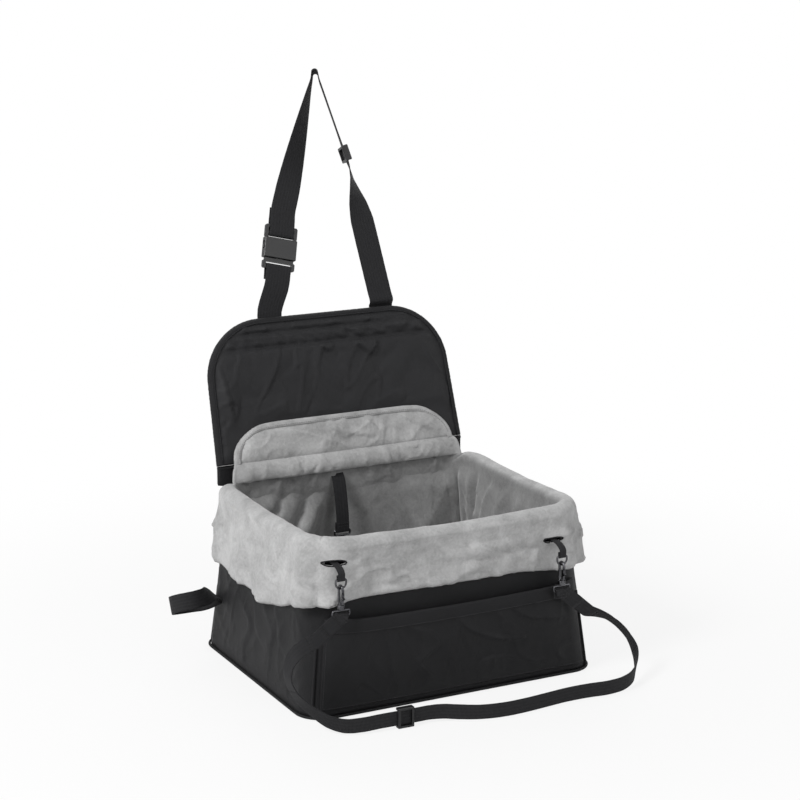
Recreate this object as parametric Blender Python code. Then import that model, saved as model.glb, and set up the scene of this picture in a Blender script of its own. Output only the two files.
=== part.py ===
"""Dog car seat: a soft tub with a folding backrest, a headrest strap with a side
release buckle, a loose front strap on two snap hooks, and an inside tether.

Metres. +X is to the right seen from the front, the front faces -Y, +Z is up.
The origin is the middle of the underside. Two pieces that touch keep GAP.
"""

from math import asin, cos, pi, radians, sin, sqrt

import bmesh
import bpy
from mathutils import Matrix, Vector

# Clearances and cuts
GAP = 0.0003
SOFT_GAP = 0.0006
OVERRUN = 0.004

# Tub, measured on the outside of its cloth
BASE_HALF_WIDTH = 0.220
BASE_HALF_DEPTH = 0.178
RIM_HALF_WIDTH = 0.197
RIM_HALF_DEPTH = 0.163
WALL_HEIGHT = 0.228
BACK_WALL_HEIGHT = 0.222
BASE_CORNER_RADIUS = 0.034
RIM_CORNER_RADIUS = 0.046
WALL_BELLY = 0.005
SHELL_CLOTH = 0.0018
WALL_BOARD = 0.0050
BASE_BOARD = 0.0040
PIPING_RADIUS = 0.0018
CORNER_PIPING_HEIGHT = 0.112

# Plush lining, with the cuff that folds out over the rim
LINING_CLOTH = 0.0040
LINING_SAG = 0.020
ROLL_RADIUS = 0.0115
BACK_ROLL_RADIUS = 0.0066
CUFF_DEPTHS = {"front": 0.070, "right": 0.098, "left": 0.101}
CUFF_STAND_OFF = 0.0050
CUFF_FOLD = 0.0075
RIM_DIP = 0.004
SLIT_HALF_WIDTH = 0.017
SLIT_HALF_HEIGHT = 0.0065
SLIT_CUT_DEPTH = 0.040
SLIT_OUTLINE_SHARES = (
    (-1.0, 0.0),
    (-0.5, -0.8),
    (0.0, -1.0),
    (0.5, -0.8),
    (1.0, 0.0),
    (0.5, 0.8),
    (0.0, 1.0),
    (-0.5, 0.8),
)

# Floor pad
PAD_HEIGHT = 0.020
PAD_CROWN = 0.012
PAD_DRAW_IN = 0.007
PAD_CHANNEL = 0.004
PAD_CHANNEL_WIDTH = 0.020
PAD_COLUMNS = 16
PAD_ROWS = 14
PAD_CORNER_SHARE = 0.12
PAD_CHANNEL_SHARES = (-0.4, 0.4)

# Front pocket
POCKET_TOP = 0.134
POCKET_FOOT = 0.012
POCKET_CLOTH = 0.0014
POCKET_BULGE = 0.015
HEM_HEIGHT = 0.018
HEM_CLOTH = 0.0010
POCKET_SIDE_SHARE = 0.022
POCKET_EDGE_SHARE = 0.16

# Backrest, in its own frame: z runs up it from the fold line, -y is its front
BACKREST_LEAN = radians(18)
FOLD_RISE = 0.034
FOLD_BEAD_RADIUS = 0.0024
FOLD_TAPE_CLOTH = 0.0012
FOLD_TAPE_HALF_WIDTH = 0.150
FOLD_TAPE_SEWN = 0.030
FOLD_TAPE_DROP_SHARES = (1.0, 0.6, 0.2)
FOLD_TAPE_STEPS = 8
FOLD_TAPE_FLARE = 0.040
FOLD_TAPE_FLARE_SHARES = ((0.0, 0.0), (0.4, 0.3), (1.0, 1.0))
BACKREST_HEIGHT = 0.207
BACKREST_HALF_WIDTH = 0.197
BACKREST_TOP_HALF_WIDTH = 0.190
BACKREST_CORNER_RADIUS = 0.086
BACKREST_CLOTH = 0.0014
BACKREST_FOAM = 0.0060
BACKREST_PUFF = 0.0030
STITCH_LINE_DROPS = (0.018, 0.040)
STITCH_LINE_WIDTH = 0.012
BACKREST_COLUMNS = 10
BACKREST_STEPS = (3, 6)
BACKREST_BINDING_STEPS = (2, 6, 3)
PLAIN_COLUMNS = 2
PUFF_EASE = 0.014
BINDING_CLOTH = 0.0012
BINDING_FLANGE = 0.010
BINDING_BULGE_SHARE = 0.8
PUFF_START_SHARE = 1.5

# Rear lining flap that stands against the backrest
FLAP_HEIGHT = 0.056
FLAP_HALF_WIDTH = 0.176
FLAP_TOP_HALF_WIDTH = 0.170
FLAP_CORNER_RADIUS = 0.048
FLAP_PADDING = 0.0050
FLAP_PUFF = 0.0022
FLAP_BINDING_CLOTH = 0.0010
FLAP_BINDING_FLANGE = 0.006
FLAP_FOOT = 0.004
FLAP_COLUMNS = 18
FLAP_STEPS = (1, 6)
FLAP_BINDING_STEPS = (1, 6, 4)
FLAP_FOLD_SHARES = ((0.18, 0.04, -0.8), (0.40, 0.05, -0.6), (0.62, 0.04, -0.8), (0.84, 0.05, -0.6))
FLAP_SLANT_SHARE = 0.10

# Webbing
WIDE_WEBBING = 0.038
WIDE_WEBBING_THICKNESS = 0.0016
NARROW_WEBBING = 0.020
NARROW_WEBBING_THICKNESS = 0.0015
TAB_WEBBING = 0.010
TAB_WEBBING_THICKNESS = 0.0010

# Headrest strap, as (x, height) in the backrest's frame
STRAP_SEWN_DEPTH = 0.030
TAIL_FOOT_X = -0.081
BUCKLE_X = -0.0605
BUCKLE_HEIGHT = 0.277
BUCKLE_TILT = radians(14)
TAIL_FOLD = 0.018
TAIL_IN_SHARES = ((-0.8, -1.2), (-1.0, -0.6))
TAIL_OUT_SHARES = ((1.0, -0.6), (0.9, -1.0))
FOLD_BACK_SHARE = 0.6
STRAP_FOLD_BACK = 0.026
APEX_X = 0.044
APEX_HEIGHT = 0.572
APEX_BEND = 0.022
KNEE_X = 0.0775
KNEE_HEIGHT = 0.418
RIGHT_FOOT_X = 0.0995
HEADREST_SLIDER_SHARE = 0.87
STRAP_TWIST = radians(72)
LEFT_LEG_SHARES = (0.10, 0.25, 0.40, 0.55, 0.70, 0.85)
RIGHT_LEG_SHARES = (0.12, 0.24, 0.36, 0.48, 0.60, 0.72, 0.84, 0.94)
APEX_BEND_SHARES = ((-1.0, 0.0), (-0.55, 0.01), (-0.22, -0.06), (0.22, -0.06), (0.55, 0.01), (1.0, 0.0))
WRAP_SHARES = ((-1.0, 0.0), (-0.9, 0.6), (-0.6, 1.0), (0.6, 1.0), (0.9, 0.6), (1.0, 0.0))

# Side release buckle, in its own frame: z runs from the male half to the female
BUCKLE_WIDTH = 0.050
BUCKLE_THICKNESS = 0.012
BUCKLE_BAR = 0.0045
BUCKLE_SLOT_WIDTH = 0.0400
BUCKLE_SLOT_HEIGHT = 0.0050
BUCKLE_PLATE = 0.0055
HOUSING_LENGTH = 0.030
HOUSING_WALL = 0.0018
MALE_NECK_LENGTH = 0.006
MALE_NECK_WIDTH = 0.045
TONGUE_WIDTH = 0.011
TONGUE_LENGTH = 0.024
PRONG_WIDTH = 0.0050
PRONG_ROOT = 0.0030
PRONG_LENGTH = 0.0230
PRONG_PROUD = 0.0010
PRONG_HEAD_LENGTH = 0.0095
PRONG_THICKNESS = 0.0030
WINDOW_LENGTH = 0.0120
WINDOW_HEIGHT = 0.0048

# Slider, the flat adjuster that the straps run through
SLIDER_BAR = 0.0036
SLIDER_THICKNESS = 0.0030
SLIDER_SLOT = 0.0062
SLIDER_EDGE = 0.0032

# Snap hook, in its own frame: the ring's wire runs through its origin along x
RING_WIRE_RADIUS = 0.0013
RING_HALF_WIDTH = 0.0075
RING_DROP = 0.0120
HOOK_WIRE_RADIUS = 0.0019
CROWN_RADIUS = 0.0056
SHANK_LENGTH = 0.0200
NOSE_LENGTH = 0.0040
COLLAR_RADIUS = 0.0050
COLLAR_HEIGHT = 0.0060
GATE_THICKNESS = 0.0026
GATE_WIDTH = 0.0034
GATE_FOOT_STEPS = 6
THUMB_TAB = 0.0040
THUMB_TAB_SHARES = ((0.70, 0.0), (0.62, 1.0), (0.40, 0.0))
EAR_THICKNESS = 0.0008
EAR_DEPTH = 0.0026
EAR_HEIGHT = 0.0030
STEM_RADIUS = 0.0015
RIVET_RADIUS = 0.0020
RIVET_HEIGHT = 0.0012
EYE_WIRE_RADIUS = 0.0014
EYE_HALF_WIDTH = 0.0122
EYE_DROP = 0.0070
EYE_LOOP = 0.012
EYE_CORNER_SHARE = 0.28
WIRE_SIDES = 8
ARC_STEPS = 8
DRUM_SIDES = 12
PIPING_SIDES = 6
SHARP_ANGLE = radians(40)

# Where the front hooks hang: (x, height of the slit in the cuff)
HOOK_PLACES = {"left": (-0.178, 0.211), "right": (0.150, 0.197)}
TAB_HANG = 0.017
TAB_SEWN_SHARES = (2.0, 1.0, 0.4)
TAB_OUT_SHARES = ((0.45, 0.0), (0.80, 0.17))
HOOK_STAND_OFF = 0.0345

# Tether that hangs inside
TETHER_X = -0.018
TETHER_LENGTH = 0.082
TETHER_STAND_OFF = 0.036
TETHER_SHARES = ((0.30, 0.00), (0.62, 0.02), (0.86, 0.09), (0.97, 0.20), (1.0, 0.36), (1.0, 0.70))

# Seat belt loops at the rear of both sides
BELT_LOOP_DEPTH = 0.128
BELT_LOOP_STAND_OFF = 0.0014
BELT_LOOP_HEIGHT = 0.076
BELT_LOOP_LENGTH = 0.076
BELT_LOOP_RISE = 0.032
BELT_LOOP_WEBBING = 0.025
BELT_LOOP_SHARES = (
    (0.0, 0.07),
    (0.16, 0.36),
    (0.40, 0.80),
    (0.68, 1.00),
    (0.90, 0.82),
    (1.0, 0.36),
    (0.93, -0.08),
    (0.72, -0.24),
    (0.42, -0.20),
    (0.18, -0.10),
    (0.0, -0.05),
)

# Loose front strap: its route from the left hook to the right hook, chosen by hand.
# Each row is a place and the direction that its width runs in.
FRONT_STRAP_ROUTE = (
    ((-0.2160, -0.1960, 0.1180), (0.80, -0.10, -0.60)),
    ((-0.2330, -0.1970, 0.1130), (0.60, -0.45, -0.66)),
    ((-0.2470, -0.1980, 0.1050), (0.35, -0.80, -0.48)),
    ((-0.2560, -0.1990, 0.0920), (0.15, -0.98, -0.12)),
    ((-0.2580, -0.2000, 0.0760), (0.05, -0.99, 0.10)),
    ((-0.2520, -0.2020, 0.0580), (0.00, -0.92, 0.38)),
    ((-0.2400, -0.2060, 0.0410), (-0.05, -0.76, 0.64)),
    ((-0.2260, -0.2130, 0.0270), (-0.08, -0.52, 0.85)),
    ((-0.2120, -0.2240, 0.0170), (-0.06, -0.26, 0.96)),
    ((-0.1950, -0.2360, 0.0122), (-0.02, -0.08, 1.00)),
    ((-0.1740, -0.2440, 0.0128), (0.00, 0.00, 1.00)),
    ((-0.1500, -0.2470, 0.0142), (0.00, 0.00, 1.00)),
    ((-0.1320, -0.2475, 0.0142), (0.00, 0.00, 1.00)),
    ((-0.1140, -0.2480, 0.0142), (0.00, 0.00, 1.00)),
    ((-0.0960, -0.2485, 0.0142), (0.00, 0.00, 1.00)),
    ((-0.0780, -0.2490, 0.0142), (0.00, 0.00, 1.00)),
    ((-0.0600, -0.2520, 0.0134), (0.00, 0.06, 1.00)),
    ((-0.0400, -0.2600, 0.0118), (0.00, 0.10, 1.00)),
    ((-0.0160, -0.2700, 0.0108), (0.00, 0.00, 1.00)),
    ((0.0150, -0.2770, 0.0108), (0.00, 0.00, 1.00)),
    ((0.0500, -0.2770, 0.0108), (0.00, 0.00, 1.00)),
    ((0.0850, -0.2735, 0.0108), (0.00, 0.00, 1.00)),
    ((0.1200, -0.2700, 0.0108), (0.00, 0.00, 1.00)),
    ((0.1520, -0.2710, 0.0110), (0.00, 0.00, 1.00)),
    ((0.1820, -0.2740, 0.0110), (0.00, 0.00, 1.00)),
    ((0.2100, -0.2690, 0.0112), (0.00, 0.00, 1.00)),
    ((0.2330, -0.2560, 0.0140), (-0.10, -0.15, 0.98)),
    ((0.2480, -0.2400, 0.0230), (-0.10, -0.50, 0.86)),
    ((0.2550, -0.2250, 0.0370), (-0.05, -0.72, 0.69)),
    ((0.2530, -0.2120, 0.0520), (-0.20, -0.82, 0.52)),
    ((0.2440, -0.2030, 0.0660), (-0.05, -0.92, 0.38)),
    ((0.2300, -0.1990, 0.0780), (0.08, -0.94, 0.34)),
    ((0.2130, -0.1980, 0.0870), (0.28, -0.78, 0.55)),
    ((0.1950, -0.1980, 0.0940), (0.52, -0.48, 0.70)),
)
ROUTE_STEPS = 2
STRAP_END_ROWS = 5
FRONT_SLIDER_ROW = 13

# How finely soft sheets are divided
WALL_STEPS = 8
WALL_SEARCH_STEPS = 24
CORNER_STEPS = 3
LINING_STEPS = 13
WALL_RISE_SHARES = (0.0, 0.25, 0.55, 0.80, 1.0)
LINING_RISE_SHARES = (0.0, 0.18, 0.38, 0.58, 0.78, 0.92)
ROLL_SHARES = (0.0, 0.22, 0.45, 0.68, 0.90)
CUFF_DROP_SHARES = (0.10, 0.28, 0.50, 0.75, 1.0)
POCKET_SHARES = (0.0, 0.02, 0.08, 0.20, 0.35, 0.50, 0.65, 0.80, 0.92, 0.98, 1.0)
POCKET_RISE_SHARES = (0.0, 0.06, 0.25, 0.50, 0.75, 1.0)

# The main folds of the cuff: (place along the side, width, depth), as shares
CUFF_FOLD_SHARES = {
    "front": ((0.18, 0.030, 0.8), (0.36, 0.050, -0.5), (0.56, 0.050, 0.5), (0.95, 0.020, 0.6)),
    "right": ((0.10, 0.045, 0.8), (0.36, 0.050, -0.7), (0.62, 0.050, 0.7), (0.90, 0.040, 0.5)),
    "left": ((0.12, 0.045, 0.5), (0.38, 0.050, -0.7), (0.66, 0.045, 0.9), (0.90, 0.035, 1.0)),
    "back": (),
}
# Where the lining sags into the tub: (place along the side, width, depth), as shares
SAG_SHARES = {
    "front": ((0.30, 0.16, 0.45), (0.72, 0.15, 0.50)),
    "right": ((0.35, 0.16, 0.70), (0.72, 0.13, 0.55)),
    "left": ((0.32, 0.14, 0.60), (0.70, 0.15, 1.00)),
    "back": ((0.22, 0.12, 0.60), (0.50, 0.08, 0.15), (0.78, 0.13, 0.75)),
}

SIDES = ("front", "right", "back", "left")

# The outlines of the two panels, and how thick the backrest is sewn up
BACKREST_FORM = (
    BACKREST_HEIGHT,
    BACKREST_HALF_WIDTH,
    BACKREST_TOP_HALF_WIDTH,
    BACKREST_CORNER_RADIUS,
)
FLAP_FORM = (FLAP_HEIGHT, FLAP_HALF_WIDTH, FLAP_TOP_HALF_WIDTH, FLAP_CORNER_RADIUS)
BACKREST_SKIN = BACKREST_FOAM / 2 + GAP + BACKREST_CLOTH / 2
BACKREST_THICKNESS = 2 * BACKREST_SKIN + BACKREST_CLOTH


def clear_scene():
    for old in list(bpy.data.objects):
        bpy.data.objects.remove(old)


def make_material(name, colour, roughness, metallic=0.0):
    material = bpy.data.materials.new(name)
    material.use_nodes = True
    shader = material.node_tree.nodes["Principled BSDF"]
    shader.inputs["Base Color"].default_value = (*colour, 1.0)
    shader.inputs["Roughness"].default_value = roughness
    shader.inputs["Metallic"].default_value = metallic
    return material


def make_materials():
    return {
        "nylon": make_material("black_nylon", (0.016, 0.016, 0.017), 0.55),
        "panel": make_material("backrest_nylon", (0.026, 0.026, 0.027), 0.60),
        "plush": make_material("grey_plush", (0.36, 0.36, 0.36), 0.95),
        "webbing": make_material("black_webbing", (0.020, 0.020, 0.021), 0.75),
        "board": make_material("fibreboard", (0.30, 0.25, 0.19), 0.85),
        "foam": make_material("foam_sheet", (0.72, 0.70, 0.64), 0.95),
        "plastic": make_material("black_acetal", (0.012, 0.012, 0.013), 0.32),
        "metal": make_material("nickel_plate", (0.55, 0.55, 0.56), 0.25, 1.0),
    }


def add_object(name, mesh, material, parent=None, location=(0, 0, 0), rotation=(0, 0, 0)):
    mesh.materials.append(material)
    obj = bpy.data.objects.new(name, mesh)
    bpy.context.scene.collection.objects.link(obj)
    obj.parent = parent
    obj.location = location
    obj.rotation_euler = rotation
    return obj


def add_empty(name, parent=None, location=(0, 0, 0), rotation=(0, 0, 0)):
    empty = bpy.data.objects.new(name, None)
    bpy.context.scene.collection.objects.link(empty)
    empty.parent = parent
    empty.location = location
    empty.rotation_euler = rotation
    return empty


def mesh_from(name, points, faces, smooth=True):
    mesh = bpy.data.meshes.new(name)
    mesh.from_pydata([tuple(point) for point in points], [], faces)
    bm = bmesh.new()
    bm.from_mesh(mesh)
    bmesh.ops.recalc_face_normals(bm, faces=bm.faces)
    bm.to_mesh(mesh)
    bm.free()
    if smooth:
        mesh.shade_smooth()
        mesh.set_sharp_from_angle(angle=SHARP_ANGLE)
    return mesh


def sheet_mesh(name, rows):
    """An open grid of quads through rows of points."""
    columns = len(rows[0])
    points = [point for row in rows for point in row]
    faces = []
    for row in range(len(rows) - 1):
        for column in range(columns - 1):
            corner = row * columns + column
            faces.append((corner, corner + 1, corner + columns + 1, corner + columns))
    return mesh_from(name, points, faces)


def add_sheet(name, rows, thickness, material, **place):
    """A sheet of cloth or board: a grid at mid thickness, made solid both ways."""
    obj = add_object(name, sheet_mesh(name, rows), material, **place)
    solidify = obj.modifiers.new("cloth_thickness", "SOLIDIFY")
    solidify.thickness = thickness
    solidify.offset = 0
    solidify.use_even_offset = False
    return obj


def add_ribbon(name, path, across, width, thickness, material, **place):
    """Webbing: a flat strip along path, its width along the across directions."""
    rows = [
        (point - side.normalized() * width / 2, point + side.normalized() * width / 2)
        for point, side in zip(path, across)
    ]
    return add_sheet(name, rows, thickness, material, **place)


def smooth_path(points, steps):
    """Points on a smooth curve that runs through every given point."""
    points = [Vector(point) for point in points]
    ends = [points[0] * 2 - points[1], *points, points[-1] * 2 - points[-2]]
    path = []
    for before, start, stop, after in zip(ends, ends[1:], ends[2:], ends[3:]):
        for step in range(steps):
            t = step / steps
            path.append(
                start
                + (stop - before) * (t / 2)
                + (before * 2 - start * 5 + stop * 4 - after) * (t * t / 2)
                + (start * 3 - before - stop * 3 + after) * (t * t * t / 2)
            )
    path.append(points[-1])
    return path


def tube_mesh(name, path, radius, sides, closed=False):
    """A round bar swept along path, with flat ends or joined end to end."""
    count = len(path)
    points = []
    normal = None
    for index, point in enumerate(path):
        ahead = path[(index + 1) % count] if closed or index + 1 < count else point
        behind = path[index - 1] if closed or index else point
        tangent = (ahead - behind).normalized()
        if normal is None:
            normal = tangent.orthogonal().normalized()
        normal = (normal - tangent * normal.dot(tangent)).normalized()
        binormal = tangent.cross(normal)
        for side in range(sides):
            angle = 2 * pi * side / sides
            points.append(point + (normal * cos(angle) + binormal * sin(angle)) * radius)
    faces = []
    for index in range(count if closed else count - 1):
        here = index * sides
        there = (index + 1) % count * sides
        for side in range(sides):
            turn = (side + 1) % sides
            faces.append((here + side, here + turn, there + turn, there + side))
    if not closed:
        faces.append(tuple(range(sides)))
        faces.append(tuple(range((count - 1) * sides, count * sides)))
    return mesh_from(name, points, faces)


def block_mesh(name, size, centre=(0, 0, 0), bevel=0.0):
    bm = bmesh.new()
    bmesh.ops.create_cube(bm, size=1)
    bmesh.ops.scale(bm, verts=bm.verts, vec=size)
    if bevel:
        bmesh.ops.bevel(bm, geom=bm.edges, offset=bevel, segments=1, affect="EDGES")
    bmesh.ops.translate(bm, verts=bm.verts, vec=centre)
    mesh = bpy.data.meshes.new(name)
    bm.to_mesh(mesh)
    bm.free()
    return mesh


def span_mesh(name, low, high):
    """A block between two corners."""
    size = [top - foot for foot, top in zip(low, high)]
    centre = [(foot + top) / 2 for foot, top in zip(low, high)]
    return block_mesh(name, size, centre)


def drum_mesh(name, radius, height, centre, sides=DRUM_SIDES):
    """A cylinder that stands along z."""
    bm = bmesh.new()
    bmesh.ops.create_cone(
        bm, cap_ends=True, segments=sides, radius1=radius, radius2=radius, depth=height
    )
    bmesh.ops.translate(bm, verts=bm.verts, vec=centre)
    mesh = bpy.data.meshes.new(name)
    bm.to_mesh(mesh)
    bm.free()
    return mesh


def plate_mesh(name, outline, thickness):
    """A flat plate: an outline of (x, z) points given a thickness along y."""
    count = len(outline)
    points = [(x, side * thickness / 2, z) for side in (-1, 1) for x, z in outline]
    faces = [tuple(range(count)), tuple(range(count, 2 * count))]
    for index in range(count):
        turn = (index + 1) % count
        faces.append((index, turn, count + turn, count + index))
    return mesh_from(name, points, faces, smooth=False)


def combine(obj, mesh, operation):
    """Joins a mesh to an object, or cuts it from the object, with a Boolean."""
    tool = bpy.data.objects.new(f"{obj.name}_{mesh.name}", mesh)
    bpy.context.scene.collection.objects.link(tool)
    tool.parent = obj
    tool.hide_render = True
    tool.display_type = "WIRE"
    boolean = obj.modifiers.new(mesh.name, "BOOLEAN")
    boolean.operation = operation
    boolean.solver = "EXACT"
    boolean.object = tool


def side_sizes(side, height):
    """Half length, distance from the middle and corner radius of one side."""
    rise = height / WALL_HEIGHT
    half_width = BASE_HALF_WIDTH + (RIM_HALF_WIDTH - BASE_HALF_WIDTH) * rise
    half_depth = BASE_HALF_DEPTH + (RIM_HALF_DEPTH - BASE_HALF_DEPTH) * rise
    radius = BASE_CORNER_RADIUS + (RIM_CORNER_RADIUS - BASE_CORNER_RADIUS) * rise
    if side in ("front", "back"):
        return half_width, half_depth, radius
    return half_depth, half_width, radius


def side_point(side, share, height, offset):
    """A point on one side, drawn as if that side were the front.

    The share runs from 0 to 1 along the side, from corner middle to corner middle.
    """
    half_length, reach, radius = side_sizes(side, height)
    arc = radius * pi / 4
    straight = 2 * (half_length - radius)
    run = share * (straight + 2 * arc)
    angle = 0
    x = radius - half_length + run - arc
    if run < arc:
        x = radius - half_length
        angle = (run - arc) / radius
    elif run > arc + straight:
        x = half_length - radius
        angle = (run - arc - straight) / radius
    rise = min(max(height / WALL_HEIGHT, 0), 1)
    belly = WALL_BELLY * sin(pi * share) * sin(pi * rise)
    arm = radius + offset + belly
    return Vector((x + arm * sin(angle), radius - reach - arm * cos(angle), height))


def tub_point(side, share, height, offset):
    """A point at an offset outward from the tub's cloth."""
    turn = Matrix.Rotation(SIDES.index(side) * pi / 2, 4, "Z")
    return turn @ side_point(side, share, height, offset)


def wall_point(side, along, height, offset):
    """The point of a side at a distance along it, left to right seen from outside."""
    low, high = 0, 1
    for _ in range(WALL_SEARCH_STEPS):
        share = (low + high) / 2
        if side_point(side, share, height, offset).x < along:
            low = share
        else:
            high = share
    return tub_point(side, (low + high) / 2, height, offset)


def corner_share(side):
    """How much of a side lies in one of its corners, as a share of the side."""
    half_length, _, radius = side_sizes(side, WALL_HEIGHT / 2)
    arc = radius * pi / 4
    return arc / (2 * (half_length - radius) + 2 * arc)


def flat_shares(side, steps):
    """Shares along the flat of a side, between its corners."""
    corner = corner_share(side)
    return [corner + (1 - 2 * corner) * step / steps for step in range(steps + 1)]


def side_shares(side, steps):
    """Shares along a side, close together in its corners, short of both seams."""
    corner = corner_share(side)
    seam = SOFT_GAP / side_sizes(side, WALL_HEIGHT / 2)[0] / 2
    first = [seam + (corner - seam) * step / CORNER_STEPS for step in range(CORNER_STEPS)]
    return first + flat_shares(side, steps) + [1 - share for share in reversed(first)]


def bump(place, centre, width):
    """A smooth rise of height 1 at centre, gone at twice the width."""
    away = abs(place - centre) / (2 * width)
    return (1 + cos(pi * away)) / 2 if away < 1 else 0


def side_wall_height(side):
    return BACK_WALL_HEIGHT if side == "back" else WALL_HEIGHT


def add_base(materials):
    """The cloth bottom and the stiff board that lies on it."""
    for name, foot, thickness, inset, material in (
        ("base_panel", 0, SHELL_CLOTH, 0, "nylon"),
        ("base_board", SHELL_CLOTH + GAP, BASE_BOARD, SHELL_CLOTH + SOFT_GAP, "board"),
    ):
        ring = [
            tub_point(side, share, foot, -inset)
            for side in SIDES
            for share in side_shares(side, 1)
        ]
        points = [Vector((point.x, point.y, z)) for z in (foot, foot + thickness) for point in ring]
        count = len(ring)
        faces = [tuple(range(count)), tuple(range(count, 2 * count))]
        for index in range(count):
            turn = (index + 1) % count
            faces.append((index, turn, count + turn, count + index))
        add_object(name, mesh_from(name, points, faces, smooth=False), materials[material])


def add_walls(materials):
    """The four cloth walls, each with a stiffening board behind it."""
    for side in SIDES:
        top = side_wall_height(side)
        shell_foot = SHELL_CLOTH + GAP
        board_foot = shell_foot + BASE_BOARD + GAP
        board_offset = -SHELL_CLOTH - GAP - WALL_BOARD / 2
        around = side_shares(side, WALL_STEPS)
        flat = flat_shares(side, WALL_STEPS)
        for name, foot, offset, thickness, shares, material in (
            (f"wall_{side}", shell_foot, -SHELL_CLOTH / 2, SHELL_CLOTH, around, "nylon"),
            (f"board_{side}", board_foot, board_offset, WALL_BOARD, flat, "board"),
        ):
            heights = [foot + (top - foot) * rise for rise in WALL_RISE_SHARES]
            rows = [[tub_point(side, share, z, offset) for z in heights] for share in shares]
            add_sheet(name, rows, thickness, materials[material])


def add_piping(materials):
    """The corded seams: one round the base, one up each corner."""
    offset = PIPING_RADIUS + GAP
    centre = PIPING_RADIUS + GAP
    ring = [
        tub_point(side, share, 0, offset) + Vector((0, 0, centre))
        for side in SIDES
        for share in side_shares(side, WALL_STEPS // 2)[:-1]
    ]
    mesh = tube_mesh("base_piping", ring, PIPING_RADIUS, PIPING_SIDES, closed=True)
    add_object("base_piping", mesh, materials["webbing"])
    foot = centre + PIPING_RADIUS + GAP
    for side, name in zip(SIDES, ("front_left", "front_right", "back_right", "back_left")):
        path = [
            tub_point(side, 0, foot + (CORNER_PIPING_HEIGHT - foot) * rise, offset)
            for rise in WALL_RISE_SHARES
        ]
        mesh = tube_mesh(f"corner_piping_{name}", path, PIPING_RADIUS, PIPING_SIDES)
        add_object(f"corner_piping_{name}", mesh, materials["webbing"])


def lining_offset(side, share, rise):
    """How far inside the cloth the lining hangs, with its sag."""
    flat = -(SHELL_CLOTH + GAP + WALL_BOARD + GAP + LINING_CLOTH / 2)
    sag = sum(depth * bump(share, centre, width) for centre, width, depth in SAG_SHARES[side])
    return flat - LINING_SAG * sag * sin(pi * min(rise, 1)) ** 2


def cuff_offset(side, share, drop):
    """How far outside the cloth the cuff hangs, with its main folds."""
    folds = sum(
        depth * bump(share, centre, width) for centre, width, depth in CUFF_FOLD_SHARES[side]
    )
    return CUFF_STAND_OFF + max(CUFF_FOLD * folds * drop, 0)


def lining_profile(side, share):
    """One slice of the lining: up the inside, over the rim and down the outside."""
    foot = SHELL_CLOTH + GAP + BASE_BOARD + 2 * GAP
    top = side_wall_height(side)
    slice_points = []
    for rise in LINING_RISE_SHARES:
        height = foot + (top - foot) * rise
        slice_points.append(tub_point(side, share, height, lining_offset(side, share, rise)))
    inner = lining_offset(side, share, 1)
    radius = BACK_ROLL_RADIUS if side == "back" else ROLL_RADIUS
    centre = inner + radius
    dip = 0 if side == "back" else RIM_DIP * sin(pi * share) ** 2
    for turn in ROLL_SHARES:
        angle = pi * turn
        height = top + radius * sin(angle) * (1 - dip / ROLL_RADIUS)
        slice_points.append(tub_point(side, share, height, centre - radius * cos(angle)))
    if side == "back":
        return slice_points
    for drop in CUFF_DROP_SHARES:
        height = top - CUFF_DEPTHS[side] * drop
        slice_points.append(tub_point(side, share, height, cuff_offset(side, share, drop)))
    return slice_points


def slit_cutter(place_x, height):
    """A pointed slit, cut right through the cuff from the front."""
    outline = [
        (place_x + SLIT_HALF_WIDTH * along, height + SLIT_HALF_HEIGHT * up)
        for along, up in SLIT_OUTLINE_SHARES
    ]
    mesh = plate_mesh(f"slit_{place_x:.3f}", outline, SLIT_CUT_DEPTH)
    wall = wall_point("front", place_x, height, 0)
    start = wall.y + SHELL_CLOTH / 2
    mesh.transform(Matrix.Translation((0, start - SLIT_CUT_DEPTH / 2, 0)))
    return mesh


def add_lining(materials):
    for side in SIDES:
        rows = [lining_profile(side, share) for share in side_shares(side, LINING_STEPS)]
        lining = add_sheet(f"lining_{side}", rows, LINING_CLOTH, materials["plush"])
        if side == "front":
            for place_x, height in HOOK_PLACES.values():
                combine(lining, slit_cutter(place_x, height), "DIFFERENCE")


def add_floor_pad(materials):
    """A cushion with a crown, drawn-in sides and two sewn channels each way."""
    foot = SHELL_CLOTH + GAP + BASE_BOARD + GAP
    inset = SHELL_CLOTH + GAP + WALL_BOARD + GAP + LINING_CLOTH + GAP + PAD_DRAW_IN
    half_width = BASE_HALF_WIDTH - inset
    half_depth = BASE_HALF_DEPTH - inset
    columns = [step / PAD_COLUMNS * 2 - 1 for step in range(PAD_COLUMNS + 1)]
    rows = [step / PAD_ROWS * 2 - 1 for step in range(PAD_ROWS + 1)]

    def spread(u, v, rise):
        x = half_width * u * sqrt(1 - PAD_CORNER_SHARE * v * v)
        y = half_depth * v * sqrt(1 - PAD_CORNER_SHARE * u * u)
        pull = 1 - PAD_DRAW_IN / half_depth * (1 - rise)
        return Vector((x * pull, y * pull, 0))

    def channel(share, half):
        """How deep the sewn channels across one direction are here, from 0 to 1."""
        width = PAD_CHANNEL_WIDTH / 2
        return max(bump(share * half, place * half, width) for place in PAD_CHANNEL_SHARES)

    def crown(u, v):
        swell = (1 - abs(u) ** 4) * (1 - abs(v) ** 4)
        channels = max(channel(u, half_width), channel(v, half_depth))
        return PAD_CROWN * swell - PAD_CHANNEL * channels * swell

    top = [
        [spread(u, v, 1) + Vector((0, 0, foot + PAD_HEIGHT + crown(u, v))) for u in columns]
        for v in rows
    ]
    bottom = [[spread(u, v, 0) + Vector((0, 0, foot)) for u in columns] for v in rows]
    add_object("floor_pad", pillow_mesh("floor_pad", top, bottom), materials["plush"])


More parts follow.
